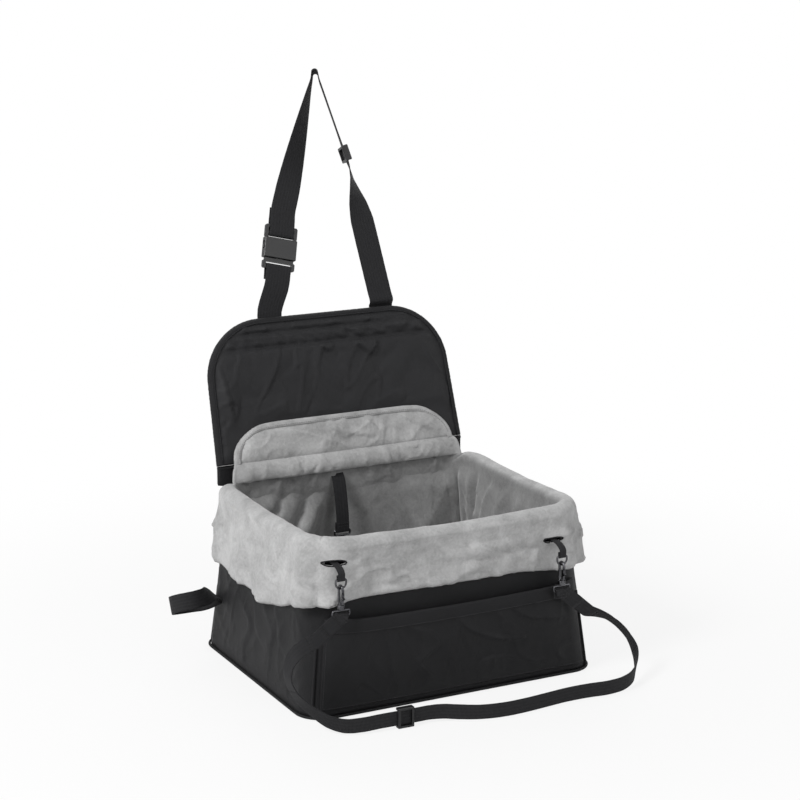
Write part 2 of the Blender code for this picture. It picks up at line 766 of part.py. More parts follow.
def pillow_mesh(name, top, bottom):
    """A closed form between two grids that share their outline's order."""
    rows, columns = len(top), len(top[0])
    points = [point for grid in (top, bottom) for row in grid for point in row]
    below = rows * columns
    faces = []
    for row in range(rows - 1):
        for column in range(columns - 1):
            corner = row * columns + column
            quad = (corner, corner + 1, corner + columns + 1, corner + columns)
            faces.append(quad)
            faces.append(tuple(below + index for index in reversed(quad)))
    rim = (
        list(range(columns))
        + [row * columns + columns - 1 for row in range(1, rows)]
        + [(rows - 1) * columns + column for column in range(columns - 2, -1, -1)]
        + [row * columns for row in range(rows - 2, 0, -1)]
    )
    for here, there in zip(rim, rim[1:] + rim[:1]):
        faces.append((here, there, below + there, below + here))
    return mesh_from(name, points, faces)


def pocket_offset(share, rise):
    """The pocket is sewn flat at its sides and foot and stands open at its mouth."""
    edge = min(share, 1 - share) / POCKET_EDGE_SHARE
    spread = sin(pi / 2 * min(edge, 1))
    return SOFT_GAP + GAP + POCKET_CLOTH / 2 + POCKET_BULGE * spread * sqrt(rise)


def pocket_rows(offset_add, foot, top):
    rows = []
    for share in POCKET_SHARES:
        row = []
        for rise in POCKET_RISE_SHARES:
            height = foot + (top - foot) * rise
            whole = (height - POCKET_FOOT) / (POCKET_TOP - POCKET_FOOT)
            across = POCKET_SIDE_SHARE + (1 - 2 * POCKET_SIDE_SHARE) * share
            offset = pocket_offset(share, max(whole, 0)) + offset_add
            row.append(tub_point("front", across, height, offset))
        rows.append(row)
    return rows


def add_pocket(materials):
    """The front pocket and the hem tape along its mouth."""
    rows = pocket_rows(0, POCKET_FOOT, POCKET_TOP)
    add_sheet("front_pocket", rows, POCKET_CLOTH, materials["nylon"])
    outside = POCKET_CLOTH / 2 + SOFT_GAP + HEM_CLOTH / 2
    rows = pocket_rows(outside, POCKET_TOP - HEM_HEIGHT, POCKET_TOP)
    add_sheet("pocket_hem", rows, HEM_CLOTH, materials["webbing"])


def panel_half_width(height, whole_height, foot_width, top_width, radius):
    """Half the width of a panel with two rounded top corners."""
    taper = foot_width + (top_width - foot_width) * height / whole_height
    up = height - (whole_height - radius)
    return taper - radius + sqrt(max(radius**2 - up**2, 0)) if up > 0 else taper


def panel_heights(whole_height, radius, straight_steps, corner_steps):
    """Heights that follow a rounded corner closely."""
    straight = whole_height - radius
    heights = [straight * step / straight_steps for step in range(straight_steps)]
    for step in range(corner_steps + 1):
        heights.append(straight + radius * sin(pi / 2 * step / corner_steps))
    return heights


def panel_rows(form, inset, foot, heights, flange, columns, depth):
    """A grid over a panel; depth(room, height, x) gives its place along y.

    The room is the way from a point to the nearest edge of the panel.
    """
    whole_height = form[0]
    rows = []
    for height in heights:
        z = foot + height * (1 - (foot + inset) / whole_height)
        half = panel_half_width(height, *form) - inset
        inner = half - flange
        places = [inner * (2 * column / columns - 1) for column in range(columns + 1)]
        row = []
        for x in [-half, *places, half]:
            room = min(half - abs(x), whole_height - height)
            row.append(Vector((x, depth(room, height, x), z)))
        rows.append(row)
    return rows


def puff_share(room, flange):
    """How much of its full padding a panel has at this distance from its edge."""
    ease = (room - flange) / PUFF_EASE
    return sin(pi / 2 * min(max(ease, 0), 1))


def backrest_puff(room, height):
    """How far the padded front stands out between its edges and stitch lines."""
    swell = puff_share(room, BINDING_FLANGE * PUFF_START_SHARE)
    swell *= min(1, height / PUFF_EASE)
    for drop in STITCH_LINE_DROPS:
        swell *= 1 - bump(height, BACKREST_HEIGHT - drop, STITCH_LINE_WIDTH / 2)
    return BACKREST_PUFF * swell


def flap_puff(room, height, x):
    """How far the flap's plush stands out, with its soft upright folds."""
    place = (x / FLAP_HALF_WIDTH + 1) / 2 + FLAP_SLANT_SHARE * height / FLAP_HEIGHT
    folds = sum(depth * bump(place, centre, width) for centre, width, depth in FLAP_FOLD_SHARES)
    swell = puff_share(room, FLAP_BINDING_FLANGE * PUFF_START_SHARE)
    return FLAP_PUFF * swell * min(1, height / PUFF_EASE) * (1 + folds)


def outline_path(form, foot, steps):
    """Points and outward directions round a panel, from foot to foot over its top."""
    straight_steps, corner_steps, top_steps = steps
    whole_height, _, _, radius = form
    side = []
    for height in panel_heights(whole_height, radius, straight_steps, corner_steps):
        up = max(height - (whole_height - radius), 0)
        angle = asin(min(up / radius, 1))
        z = foot + height * (1 - foot / whole_height)
        out = Vector((cos(angle), 0, sin(angle)))
        side.append((panel_half_width(height, *form), z, out))
    flat = side[-1][0]
    path = [(Vector((-x, 0, z)), Vector((-out.x, 0, out.z))) for x, z, out in side]
    for step in range(1, top_steps):
        x = flat * (2 * step / top_steps - 1)
        path.append((Vector((x, 0, whole_height)), Vector((0, 0, 1))))
    path += [(Vector((x, 0, z)), out) for x, z, out in reversed(side)]
    return path


def binding_half(thickness, cloth):
    """Depth of each leaf of a binding from the middle of its panel."""
    return thickness / 2 + GAP + cloth / 2


def binding_inset(thickness, cloth):
    """How far inside the outer outline the bound panel's own edge lies."""
    return binding_half(thickness, cloth) * BINDING_BULGE_SHARE + cloth / 2


def add_binding(name, form, foot, thickness, flange, cloth, steps, material, parent):
    """Binding tape folded round a panel's edge, open towards the panel."""
    half = binding_half(thickness, cloth)
    bulge = half * BINDING_BULGE_SHARE
    front = Vector((0, -1, 0))
    rows = []
    for point, out in outline_path(form, foot, steps):
        edge = point - out * (bulge + cloth / 2)
        rows.append(
            [
                edge - out * flange + front * half,
                edge - out * flange / 2 + front * half,
                edge + front * half,
                edge + out * bulge + front * half / 2,
                edge + out * bulge - front * half / 2,
                edge - front * half,
                edge - out * flange / 2 - front * half,
                edge - out * flange - front * half,
            ]
        )
    return add_sheet(name, rows, cloth, material, parent=parent)


def add_backrest(materials, pivot):
    """Front cloth, foam sheet and rear cloth, bound together round the edge."""
    heights = panel_heights(BACKREST_HEIGHT, BACKREST_CORNER_RADIUS, *BACKREST_STEPS)
    stitched = {BACKREST_HEIGHT - drop for drop in STITCH_LINE_DROPS}
    stitched.add(BACKREST_HEIGHT - sum(STITCH_LINE_DROPS) / 2)
    fine = sorted(set(heights) | stitched)
    foot = FOLD_BEAD_RADIUS + GAP
    inset = binding_inset(BACKREST_THICKNESS, BINDING_CLOTH) + GAP
    flange = BINDING_FLANGE * PUFF_START_SHARE

    def front(room, height, x):
        return -BACKREST_SKIN - backrest_puff(room, height)

    def rear(room, height, x):
        return BACKREST_SKIN

    def middle(room, height, x):
        return 0

    for name, depth, levels, columns, thickness, material in (
        ("backrest_front", front, fine, BACKREST_COLUMNS, BACKREST_CLOTH, "panel"),
        ("backrest_foam", middle, heights, PLAIN_COLUMNS, BACKREST_FOAM, "foam"),
        ("backrest_rear", rear, heights, PLAIN_COLUMNS, BACKREST_CLOTH, "panel"),
    ):
        rows = panel_rows(BACKREST_FORM, inset, foot, levels, flange, columns, depth)
        add_sheet(name, rows, thickness, materials[material], parent=pivot)
    add_binding(
        "backrest_binding",
        BACKREST_FORM,
        foot,
        BACKREST_THICKNESS,
        BINDING_FLANGE,
        BINDING_CLOTH,
        BACKREST_BINDING_STEPS,
        materials["webbing"],
        pivot,
    )


def flap_seat():
    """How far in front of the backrest's middle the flap's middle stands."""
    front = BACKREST_THICKNESS / 2 + BACKREST_PUFF
    binding = binding_half(FLAP_PADDING, FLAP_BINDING_CLOTH) + FLAP_BINDING_CLOTH / 2
    return front + GAP + binding


def add_flap(materials, pivot):
    """The padded flap of lining that stands against the backrest, with its binding."""
    heights = panel_heights(FLAP_HEIGHT, FLAP_CORNER_RADIUS, *FLAP_STEPS)
    inset = binding_inset(FLAP_PADDING, FLAP_BINDING_CLOTH) + GAP
    flange = FLAP_BINDING_FLANGE * PUFF_START_SHARE

    def front(room, height, x):
        return -FLAP_PADDING / 2 - flap_puff(room, height, x)

    def back(room, height, x):
        return FLAP_PADDING / 2

    top = panel_rows(FLAP_FORM, inset, 0, heights, flange, FLAP_COLUMNS, front)
    bottom = panel_rows(FLAP_FORM, inset, 0, heights, flange, FLAP_COLUMNS, back)
    mesh = pillow_mesh("rear_flap", top, bottom)
    add_object("rear_flap", mesh, materials["plush"], parent=pivot)
    add_binding(
        "flap_binding",
        FLAP_FORM,
        0,
        FLAP_PADDING,
        FLAP_BINDING_FLANGE,
        FLAP_BINDING_CLOTH,
        FLAP_BINDING_STEPS,
        materials["plush"],
        pivot,
    )


def fold_line():
    """The axis that the backrest folds on, just behind the rear lining's rim."""
    _, reach, _ = side_sizes("back", BACK_WALL_HEIGHT)
    lining_back = lining_offset("back", 0, 1) + 2 * BACK_ROLL_RADIUS + LINING_CLOTH / 2
    depth = reach + lining_back + GAP + FOLD_TAPE_CLOTH / 2
    return Vector((0, depth, BACK_WALL_HEIGHT + FOLD_RISE))


def add_fold_tape(materials):
    """The cloth strip from the rear wall up to the corded edge that the backrest folds on."""
    fold = fold_line()
    seat = SOFT_GAP + FOLD_TAPE_CLOTH / 2
    rows = []
    for step in range(FOLD_TAPE_STEPS + 1):
        across = 2 * step / FOLD_TAPE_STEPS - 1
        x = FOLD_TAPE_HALF_WIDTH * across
        row = [
            wall_point("back", -x, BACK_WALL_HEIGHT - FOLD_TAPE_SEWN * drop, seat)
            for drop in FOLD_TAPE_DROP_SHARES
        ]
        for rise, flare in FOLD_TAPE_FLARE_SHARES:
            wide = (FOLD_TAPE_HALF_WIDTH + FOLD_TAPE_FLARE * flare) * across
            row.append(Vector((wide, fold.y, BACK_WALL_HEIGHT + FOLD_RISE * rise)))
        rows.append(row)
    tape = add_sheet("fold_tape", rows, FOLD_TAPE_CLOTH, materials["nylon"])
    end = Vector((FOLD_TAPE_HALF_WIDTH + FOLD_TAPE_FLARE - OVERRUN, 0, 0))
    bead = tube_mesh("fold_bead", [fold - end, fold + end], FOLD_BEAD_RADIUS, WIRE_SIDES)
    combine(tape, bead, "UNION")


def buckle_frame():
    """From the buckle's own frame to the backrest's."""
    place = Matrix.Translation((BUCKLE_X, 0, BUCKLE_HEIGHT))
    return place @ Matrix.Rotation(BUCKLE_TILT, 4, "Y")


def square_widths(path, widths):
    """The width directions, each made square to the path at its point."""
    squared = []
    for index, width in enumerate(widths):
        ahead = path[min(index + 1, len(path) - 1)]
        behind = path[max(index - 1, 0)]
        tangent = (ahead - behind).normalized()
        squared.append((width - tangent * width.dot(tangent)).normalized())
    return squared


def webbing_seat():
    """Depth at which wide webbing passes the face of a buckle's bar."""
    return BUCKLE_PLATE / 2 + GAP + WIDE_WEBBING_THICKNESS / 2


def rear_seat():
    """Depth at which the headrest webbing is sewn on behind the backrest."""
    bound = binding_half(BACKREST_THICKNESS, BINDING_CLOTH) + BINDING_CLOTH / 2
    return bound + GAP + WIDE_WEBBING_THICKNESS / 2


def bar_wrap(edge, side):
    """Webbing round a bar of the buckle: (depth, height) past its edge at side 1 or -1."""
    rise = side * (WIDE_WEBBING_THICKNESS + GAP)
    seat = webbing_seat()
    return [(seat * depth, edge + rise * up) for depth, up in WRAP_SHARES]


def add_tail(materials, pivot):
    """The short left end of the headrest strap, folded round the male half's bar."""
    frame = buckle_frame()
    seat = webbing_seat()
    sewn = [
        Vector((TAIL_FOOT_X, rear_seat(), BACKREST_HEIGHT + rise))
        for rise in (-STRAP_SEWN_DEPTH, -STRAP_SEWN_DEPTH / 2, BINDING_CLOTH * 2)
    ]
    turned = [(seat * depth, TAIL_FOLD * up) for depth, up in TAIL_IN_SHARES]
    turned += bar_wrap(BUCKLE_BAR / 2, 1)
    turned += [(seat * depth, TAIL_FOLD * up) for depth, up in TAIL_OUT_SHARES]
    path = sewn + [frame @ Vector((0, depth, height)) for depth, height in turned]
    tilted = frame.to_3x3() @ Vector((1, 0, 0))
    across = [Vector((1, 0, 0))] * len(sewn) + [tilted] * len(turned)
    width, cloth = WIDE_WEBBING, WIDE_WEBBING_THICKNESS
    add_ribbon("strap_tail", path, across, width, cloth, materials["webbing"], parent=pivot)


def buckle_heights():
    """Heights in the buckle's frame: housing foot and top, middle bar, top end."""
    foot = BUCKLE_BAR / 2 + BUCKLE_SLOT_HEIGHT + MALE_NECK_LENGTH + GAP
    top = foot + HOUSING_LENGTH
    middle = top + BUCKLE_SLOT_HEIGHT + BUCKLE_BAR / 2
    end = middle + BUCKLE_BAR / 2 + BUCKLE_SLOT_HEIGHT + BUCKLE_BAR
    return foot, top, middle, end


def strap_apex():
    return Vector((APEX_X, 0, APEX_HEIGHT))


def strap_knee():
    return Vector((KNEE_X, 0, KNEE_HEIGHT))


def add_headrest_strap(materials, pivot):
    """From the female half up to the apex, down to the knee and to the right foot."""
    frame = buckle_frame()
    seat = webbing_seat()
    _, _, middle, end = buckle_heights()
    turned = [(seat, end + STRAP_FOLD_BACK), (seat, end)]
    turned += reversed(bar_wrap(middle - BUCKLE_BAR / 2, -1))
    turned += [(-seat, end), (-seat * FOLD_BACK_SHARE, end + STRAP_FOLD_BACK)]
    path = [frame @ Vector((0, depth, height)) for depth, height in turned]
    turns = [0] * len(path)
    apex, knee = strap_apex(), strap_knee()
    foot = Vector((RIGHT_FOOT_X, 0, BACKREST_HEIGHT))
    rise = apex - path[-1]
    start = path[-1]
    for share in LEFT_LEG_SHARES:
        path.append(start + rise * share)
        turns.append(STRAP_TWIST * share)
    up = Vector((rise.x, 0, rise.z)).normalized()
    down = (knee - apex).normalized()
    for run, dip in APEX_BEND_SHARES:
        leg = -up if run < 0 else down
        path.append(apex + leg * abs(run) * APEX_BEND + Vector((0, 0, dip * APEX_BEND)))
        turns.append(STRAP_TWIST)
    path.append(knee)
    turns.append(STRAP_TWIST)
    for share in RIGHT_LEG_SHARES:
        path.append(knee + (foot - knee) * share)
        turns.append(STRAP_TWIST * (1 - share))
    for drop in (-BINDING_CLOTH * 2, STRAP_SEWN_DEPTH / 2, STRAP_SEWN_DEPTH):
        path.append(Vector((RIGHT_FOOT_X, rear_seat(), BACKREST_HEIGHT - drop)))
        turns.append(0)
    across = square_widths(path, [Vector((cos(turn), sin(turn), 0)) for turn in turns])
    tilted = frame.to_3x3() @ Vector((1, 0, 0))
    across[: len(turned)] = [tilted] * len(turned)
    width, cloth = WIDE_WEBBING, WIDE_WEBBING_THICKNESS
    add_ribbon("headrest_strap", path, across, width, cloth, materials["webbing"], parent=pivot)


def add_slider(name, webbing, thickness, material, **place):
    """A slider: two end bars behind its strap, one middle bar in front of it."""
    inside = webbing / 2 + 2 * GAP
    half_width = inside + SLIDER_EDGE
    way = thickness / 2 + 2 * GAP
    depth = way + SLIDER_THICKNESS
    half_length = SLIDER_BAR * 1.5 + SLIDER_SLOT
    size = (2 * half_width, 2 * depth, 2 * half_length)
    slider = add_object(name, block_mesh(name, size, bevel=SLIDER_THICKNESS / 4), material, **place)
    past_end = half_length + OVERRUN
    past_face = depth + OVERRUN
    middle = SLIDER_BAR / 2
    rear = half_length - SLIDER_BAR
    for cut, low, high in (
        ("strap_way", (-inside, -way, -past_end), (inside, way, past_end)),
        ("front_above", (-inside, -past_face, middle), (inside, 0, past_end)),
        ("front_below", (-inside, -past_face, -past_end), (inside, 0, -middle)),
        ("rear_middle", (-inside, 0, -rear), (inside, past_face, rear)),
    ):
        combine(slider, span_mesh(cut, low, high), "DIFFERENCE")
    return slider


def frame_turn(side, back, up):
    """The rotation whose x, y and z axes are these three directions."""
    return Matrix((side, back, up)).transposed().to_euler()


def add_headrest_slider(materials, pivot):
    """The slider on the right leg of the strap, in line with it and turned with it."""
    apex, knee = strap_apex(), strap_knee()
    up = (apex - knee).normalized()
    side = Vector((cos(STRAP_TWIST), sin(STRAP_TWIST), 0))
    side = (side - up * side.dot(up)).normalized()
    add_slider(
        "headrest_slider",
        WIDE_WEBBING,
        WIDE_WEBBING_THICKNESS,
        materials["plastic"],
        parent=pivot,
        location=apex + (knee - apex) * HEADREST_SLIDER_SHARE,
        rotation=frame_turn(side, up.cross(side), up),
    )


def add_buckle(materials, pivot):
    """A side release buckle: housing, male half and its two spring prongs."""
    seat = add_empty(
        "buckle_seat",
        parent=pivot,
        location=(BUCKLE_X, 0, BUCKLE_HEIGHT),
        rotation=(0, BUCKLE_TILT, 0),
    )
    plastic = materials["plastic"]
    foot, top, middle, end = buckle_heights()
    add_female_half(plastic, seat, foot, top, middle, end)
    add_male_half(plastic, seat, foot)
    for side, name in ((-1, "left"), (1, "right")):
        add_prong(f"buckle_prong_{name}", plastic, seat, foot, side)


def add_female_half(plastic, seat, foot, top, middle, end):
    """The housing with its open foot, side windows and ladder of two slots."""
    half = BUCKLE_WIDTH / 2
    thick = BUCKLE_THICKNESS / 2
    wall = HOUSING_WALL
    size = (BUCKLE_WIDTH, BUCKLE_THICKNESS, HOUSING_LENGTH)
    mesh = block_mesh("buckle_female", size, (0, 0, (foot + top) / 2), bevel=wall / 2)
    female = add_object("buckle_female", mesh, plastic, parent=seat)
    right = [(half - wall, top - wall / 2), (half, top + wall), (half, end - wall), (half - wall, end)]
    ladder = right + [(-x, z) for x, z in reversed(right)]
    combine(female, plate_mesh("ladder", ladder, BUCKLE_PLATE), "UNION")
    low = (wall - half, wall - thick, foot - OVERRUN)
    high = (half - wall, thick - wall, top - wall)
    combine(female, span_mesh("cavity", low, high), "DIFFERENCE")
    centre = foot + PRONG_LENGTH - PRONG_HEAD_LENGTH / 2
    low = (-half - OVERRUN, -WINDOW_HEIGHT / 2, centre - WINDOW_LENGTH / 2)
    high = (half + OVERRUN, WINDOW_HEIGHT / 2, centre + WINDOW_LENGTH / 2)
    combine(female, span_mesh("side_windows", low, high), "DIFFERENCE")
    for name, side in (("lower_slot", -1), ("upper_slot", 1)):
        height = middle + side * (BUCKLE_BAR + BUCKLE_SLOT_HEIGHT) / 2
        combine(female, slot_mesh(name, height), "DIFFERENCE")


def slot_mesh(name, height):
    """The cutter for one webbing slot in a buckle's plate."""
    half = BUCKLE_SLOT_WIDTH / 2
    past = BUCKLE_PLATE / 2 + OVERRUN
    rise = BUCKLE_SLOT_HEIGHT / 2
    return span_mesh(name, (-half, -past, height - rise), (half, past, height + rise))


def add_male_half(plastic, seat, foot):
    """The male half's bar, slot, neck and guide tongue, cut from one plate."""
    half = BUCKLE_WIDTH / 2
    low = -BUCKLE_BAR / 2
    frame_top = BUCKLE_BAR + BUCKLE_SLOT_HEIGHT
    ease = BUCKLE_BAR / 3
    neck_top = foot - GAP
    tongue_top = foot + TONGUE_LENGTH
    right = [
        (half - ease, low),
        (half, low + ease),
        (half, frame_top - ease),
        (half - ease, frame_top),
        (MALE_NECK_WIDTH / 2, frame_top),
        (MALE_NECK_WIDTH / 2, neck_top),
        (TONGUE_WIDTH / 2, neck_top),
        (TONGUE_WIDTH / 2, tongue_top - ease),
        (TONGUE_WIDTH / 2 - ease, tongue_top),
    ]
    outline = right + [(-x, z) for x, z in reversed(right)]
    mesh = plate_mesh("buckle_male", outline, BUCKLE_PLATE)
    male = add_object("buckle_male", mesh, plastic, parent=seat)
    combine(male, slot_mesh("male_slot", (BUCKLE_BAR + BUCKLE_SLOT_HEIGHT) / 2), "DIFFERENCE")


def add_prong(name, plastic, seat, foot, side):
    """A spring prong: thin at its root, with a catch that fills the side window."""
    root_x = BUCKLE_WIDTH / 2 - HOUSING_WALL - GAP - PRONG_WIDTH / 2
    outside = BUCKLE_WIDTH / 2 + PRONG_PROUD - root_x
    half = PRONG_WIDTH / 2
    head = PRONG_LENGTH - PRONG_HEAD_LENGTH
    outline = [
        (-PRONG_ROOT / 2, GAP),
        (PRONG_ROOT / 2, GAP),
        (half, head / 2),
        (half, head),
        (outside, head + GAP),
        (outside, head + PRONG_HEAD_LENGTH / 2),
        (half, PRONG_LENGTH),
        (0, PRONG_LENGTH + half),
        (-half, PRONG_LENGTH),
        (-half, head / 2),
    ]
    mesh = plate_mesh(name, [(side * x, z) for x, z in outline], PRONG_THICKNESS)
    add_object(name, mesh, plastic, parent=seat, location=(side * root_x, 0, foot - GAP))


def hook_heights():
    """Heights in the hook's frame: crown centre, collar top and foot, eye top and foot."""
    crown = RING_WIRE_RADIUS + GAP + HOOK_WIRE_RADIUS - CROWN_RADIUS
    collar_top = crown - SHANK_LENGTH
    collar_foot = collar_top - COLLAR_HEIGHT
    eye_top = collar_foot - GAP - EYE_WIRE_RADIUS
    return crown, collar_top, collar_foot, eye_top, eye_top - EYE_DROP


def hook_wire():
    """The bent wire of the hook in its y-z plane, from nose to collar."""
    crown, collar_top, _, _, _ = hook_heights()
    path = [Vector((0, -CROWN_RADIUS, crown - NOSE_LENGTH))]
    for step in range(ARC_STEPS + 1):
        angle = pi - pi * step / ARC_STEPS
        path.append(Vector((0, CROWN_RADIUS * cos(angle), crown + CROWN_RADIUS * sin(angle))))
    path.append(Vector((0, CROWN_RADIUS, collar_top + COLLAR_HEIGHT)))
    path.append(Vector((0, COLLAR_RADIUS, collar_top + COLLAR_HEIGHT / 4)))
    path.append(Vector((0, COLLAR_RADIUS - HOOK_WIRE_RADIUS, collar_top - COLLAR_HEIGHT / 2)))
    return path


def add_snap_hook(name, materials, place, turn=0):
    """A swivel snap hook: hook and collar, spring gate and riveted strap eye."""
    metal = materials["metal"]
    seat = add_empty(f"{name}_hook_seat", location=place, rotation=(0, turn, 0))
    _, collar_top, collar_foot, _, _ = hook_heights()
    mesh = tube_mesh(f"{name}_hook", hook_wire(), HOOK_WIRE_RADIUS, WIRE_SIDES)
    hook = add_object(f"{name}_hook", mesh, metal, parent=seat)
    centre = (0, 0, (collar_top + collar_foot) / 2)
    combine(hook, drum_mesh("collar", COLLAR_RADIUS, COLLAR_HEIGHT, centre), "UNION")
    pivot = gate_pivot()
    for side in (-1, 1):
        near, far = GATE_WIDTH / 2 + GAP, GATE_WIDTH / 2 + GAP + EAR_THICKNESS
        ends = sorted((side * near, side * far))
        low = (ends[0], pivot.y - EAR_DEPTH / 2, collar_top - EAR_HEIGHT)
        high = (ends[1], pivot.y + EAR_DEPTH / 2, collar_top + EAR_HEIGHT)
        combine(hook, span_mesh(f"ear_{side}", low, high), "UNION")
    bore = drum_mesh("bore", STEM_RADIUS + GAP, COLLAR_HEIGHT + 2 * OVERRUN, centre)
    combine(hook, bore, "DIFFERENCE")
    add_gate(f"{name}_gate", metal, seat)
    add_eye(f"{name}_eye", metal, seat)


def gate_pivot():
    """Where the gate turns, in the hook's frame."""
    _, collar_top, _, _, _ = hook_heights()
    return Vector((0, -COLLAR_RADIUS + EAR_DEPTH / 2, collar_top + GAP + GATE_THICKNESS / 2))


def add_gate(name, metal, seat):
    """The gate leans from the collar's ears to the nose and has a thumb tab."""
    crown, _, _, _, _ = hook_heights()
    pivot = gate_pivot()
    tip_y = -CROWN_RADIUS - pivot.y
    tip_z = crown - NOSE_LENGTH - GAP - pivot.z
    half = GATE_THICKNESS / 2
    outline = [(tip_y + half, tip_z), (tip_y - half, tip_z)]
    outline += [
        (tip_y * rise - half - THUMB_TAB * proud, tip_z * rise)
        for rise, proud in THUMB_TAB_SHARES
    ]
    for step in range(GATE_FOOT_STEPS + 1):
        angle = pi + pi * step / GATE_FOOT_STEPS
        outline.append((half * cos(angle), half * sin(angle)))
    mesh = plate_mesh(name, outline, GATE_WIDTH)
    mesh.transform(Matrix.Rotation(pi / 2, 4, "Z"))
    add_object(name, mesh, metal, parent=seat, location=pivot)


def add_eye(name, metal, seat):
    """The strap eye: a rounded frame of wire on a riveted stem."""
    _, collar_top, _, eye_top, _ = hook_heights()
    ease = EYE_DROP * EYE_CORNER_SHARE
    right = [
        (0, 0),
        (EYE_HALF_WIDTH - ease, 0),
        (EYE_HALF_WIDTH, -ease),
        (EYE_HALF_WIDTH, ease - EYE_DROP),
        (EYE_HALF_WIDTH - ease, -EYE_DROP),
    ]
    left = [(-x, -EYE_DROP - z) for x, z in right]
    path = [Vector((x, 0, z)) for x, z in right + left]
    mesh = tube_mesh(name, path, EYE_WIRE_RADIUS, WIRE_SIDES, closed=True)
    eye = add_object(name, mesh, metal, parent=seat, location=(0, 0, eye_top))
    head_foot = collar_top + GAP - eye_top
    stem = head_foot + RIVET_HEIGHT / 2
    combine(eye, drum_mesh("stem", STEM_RADIUS, stem, (0, 0, stem / 2)), "UNION")
    centre = (0, 0, head_foot + RIVET_HEIGHT / 2)
    combine(eye, drum_mesh("rivet_head", RIVET_RADIUS, RIVET_HEIGHT, centre), "UNION")


def add_ring(name, materials, place):
    """A D-ring: a straight bar in its tab, and a bow that passes through the origin."""
    half = RING_HALF_WIDTH
    path = [Vector((x, 0, RING_DROP)) for x in (-half, 0, half)]
    for step in range(ARC_STEPS + 1):
        angle = -pi * step / ARC_STEPS
        path.append(Vector((half * cos(angle), 0, half * (1 + sin(angle)))))
    mesh = tube_mesh(name, path, RING_WIRE_RADIUS, WIRE_SIDES, closed=True)
    add_object(name, mesh, materials["metal"], location=place)


def hook_place(side):
    """Where the ring's wire carries the hook: below and in front of the slit."""
    x, slit_height = HOOK_PLACES[side]
    wall = wall_point("front", x, slit_height, 0)
    return Vector((x, wall.y - HOOK_STAND_OFF, slit_height - TAB_HANG - RING_DROP))


def add_ring_tab(name, materials, side):
    """The webbing tab: sewn to the wall, out through the slit and round the ring's bar."""
    x, slit_height = HOOK_PLACES[side]
    place = hook_place(side)
    cloth = TAB_WEBBING_THICKNESS
    wrap = RING_WIRE_RADIUS + GAP + cloth / 2
    bar = place.z + RING_DROP
    edge = TAB_WEBBING / 2
    path, across = [], []
    for rise in TAB_SEWN_SHARES:
        height = slit_height + SLIT_HALF_HEIGHT * rise
        ends = [wall_point("front", x + turn, height, SOFT_GAP + cloth / 2) for turn in (-edge, edge)]
        path.append((ends[0] + ends[1]) / 2)
        across.append(ends[1] - ends[0])
    front = path[-1].y
    for run, drop in (*TAB_OUT_SHARES, (1.0, 0.5)):
        height = slit_height + (bar - slit_height) * drop
        path.append(Vector((x, front + (place.y - wrap - front) * run, height)))
    for step in range(ARC_STEPS // 2 + 1):
        angle = 2 * pi * step / ARC_STEPS
        path.append(Vector((x, place.y - wrap * cos(angle), bar - wrap * sin(angle))))
    path.append(Vector((x, place.y + wrap, (slit_height + bar * 2) / 3)))
    across += [Vector((1, 0, 0))] * (len(path) - len(across))
    add_ribbon(name, path, across, TAB_WEBBING, cloth, materials["webbing"])


def eye_loop(place, cloth):
    """Webbing folded over an eye's lower bar, from its short end to the front."""
    wrap = EYE_WIRE_RADIUS + GAP + cloth / 2
    foot = place.z + hook_heights()[4]
    path = [Vector((place.x, place.y + wrap, foot - EYE_LOOP))]
    for step in range(ARC_STEPS // 2 + 1):
        angle = 2 * pi * step / ARC_STEPS
        path.append(Vector((place.x, place.y + wrap * cos(angle), foot + wrap * sin(angle))))
    return path


def add_front_strap(materials):
    """The loose front strap: a sewn end on each hook and the long part between."""
    places = smooth_path([place for place, _ in FRONT_STRAP_ROUTE], ROUTE_STEPS)
    widths = smooth_path([width for _, width in FRONT_STRAP_ROUTE], ROUTE_STEPS)
    widths = square_widths(places, widths)
    end = STRAP_END_ROWS * ROUTE_STEPS
    webbing = materials["webbing"]
    width, cloth = NARROW_WEBBING, NARROW_WEBBING_THICKNESS
    middle = places[end:-end]
    middle[0] = middle[0] + (middle[1] - middle[0]).normalized() * GAP
    middle[-1] = middle[-1] + (middle[-2] - middle[-1]).normalized() * GAP
    add_ribbon("front_strap", middle, widths[end:-end], width, cloth, webbing)
    for side, far_places, far_widths in (
        ("left", places[: end + 1], widths[: end + 1]),
        ("right", places[::-1][: end + 1], widths[::-1][: end + 1]),
    ):
        loop = eye_loop(hook_place(side), cloth)
        path = loop + far_places
        across = [Vector((1, 0, 0))] * len(loop) + far_widths
        add_ribbon(f"strap_end_{side}", path, across, width, cloth, webbing)
    row = FRONT_SLIDER_ROW * ROUTE_STEPS
    along = (places[row + 1] - places[row - 1]).normalized()
    up = Vector((0, 0, 1))
    turn = frame_turn(up, along.cross(up), along)
    plastic = materials["plastic"]
    add_slider("front_slider", width, cloth, plastic, location=places[row], rotation=turn)


def tether_bar():
    """The middle of the eye bar that the tether's webbing ends on."""
    fold = fold_line()
    rim = BACK_WALL_HEIGHT + BACK_ROLL_RADIUS + LINING_CLOTH / 2
    height = rim + GAP + NARROW_WEBBING_THICKNESS / 2 - TETHER_LENGTH
    return Vector((TETHER_X, fold.y - TETHER_STAND_OFF, height))


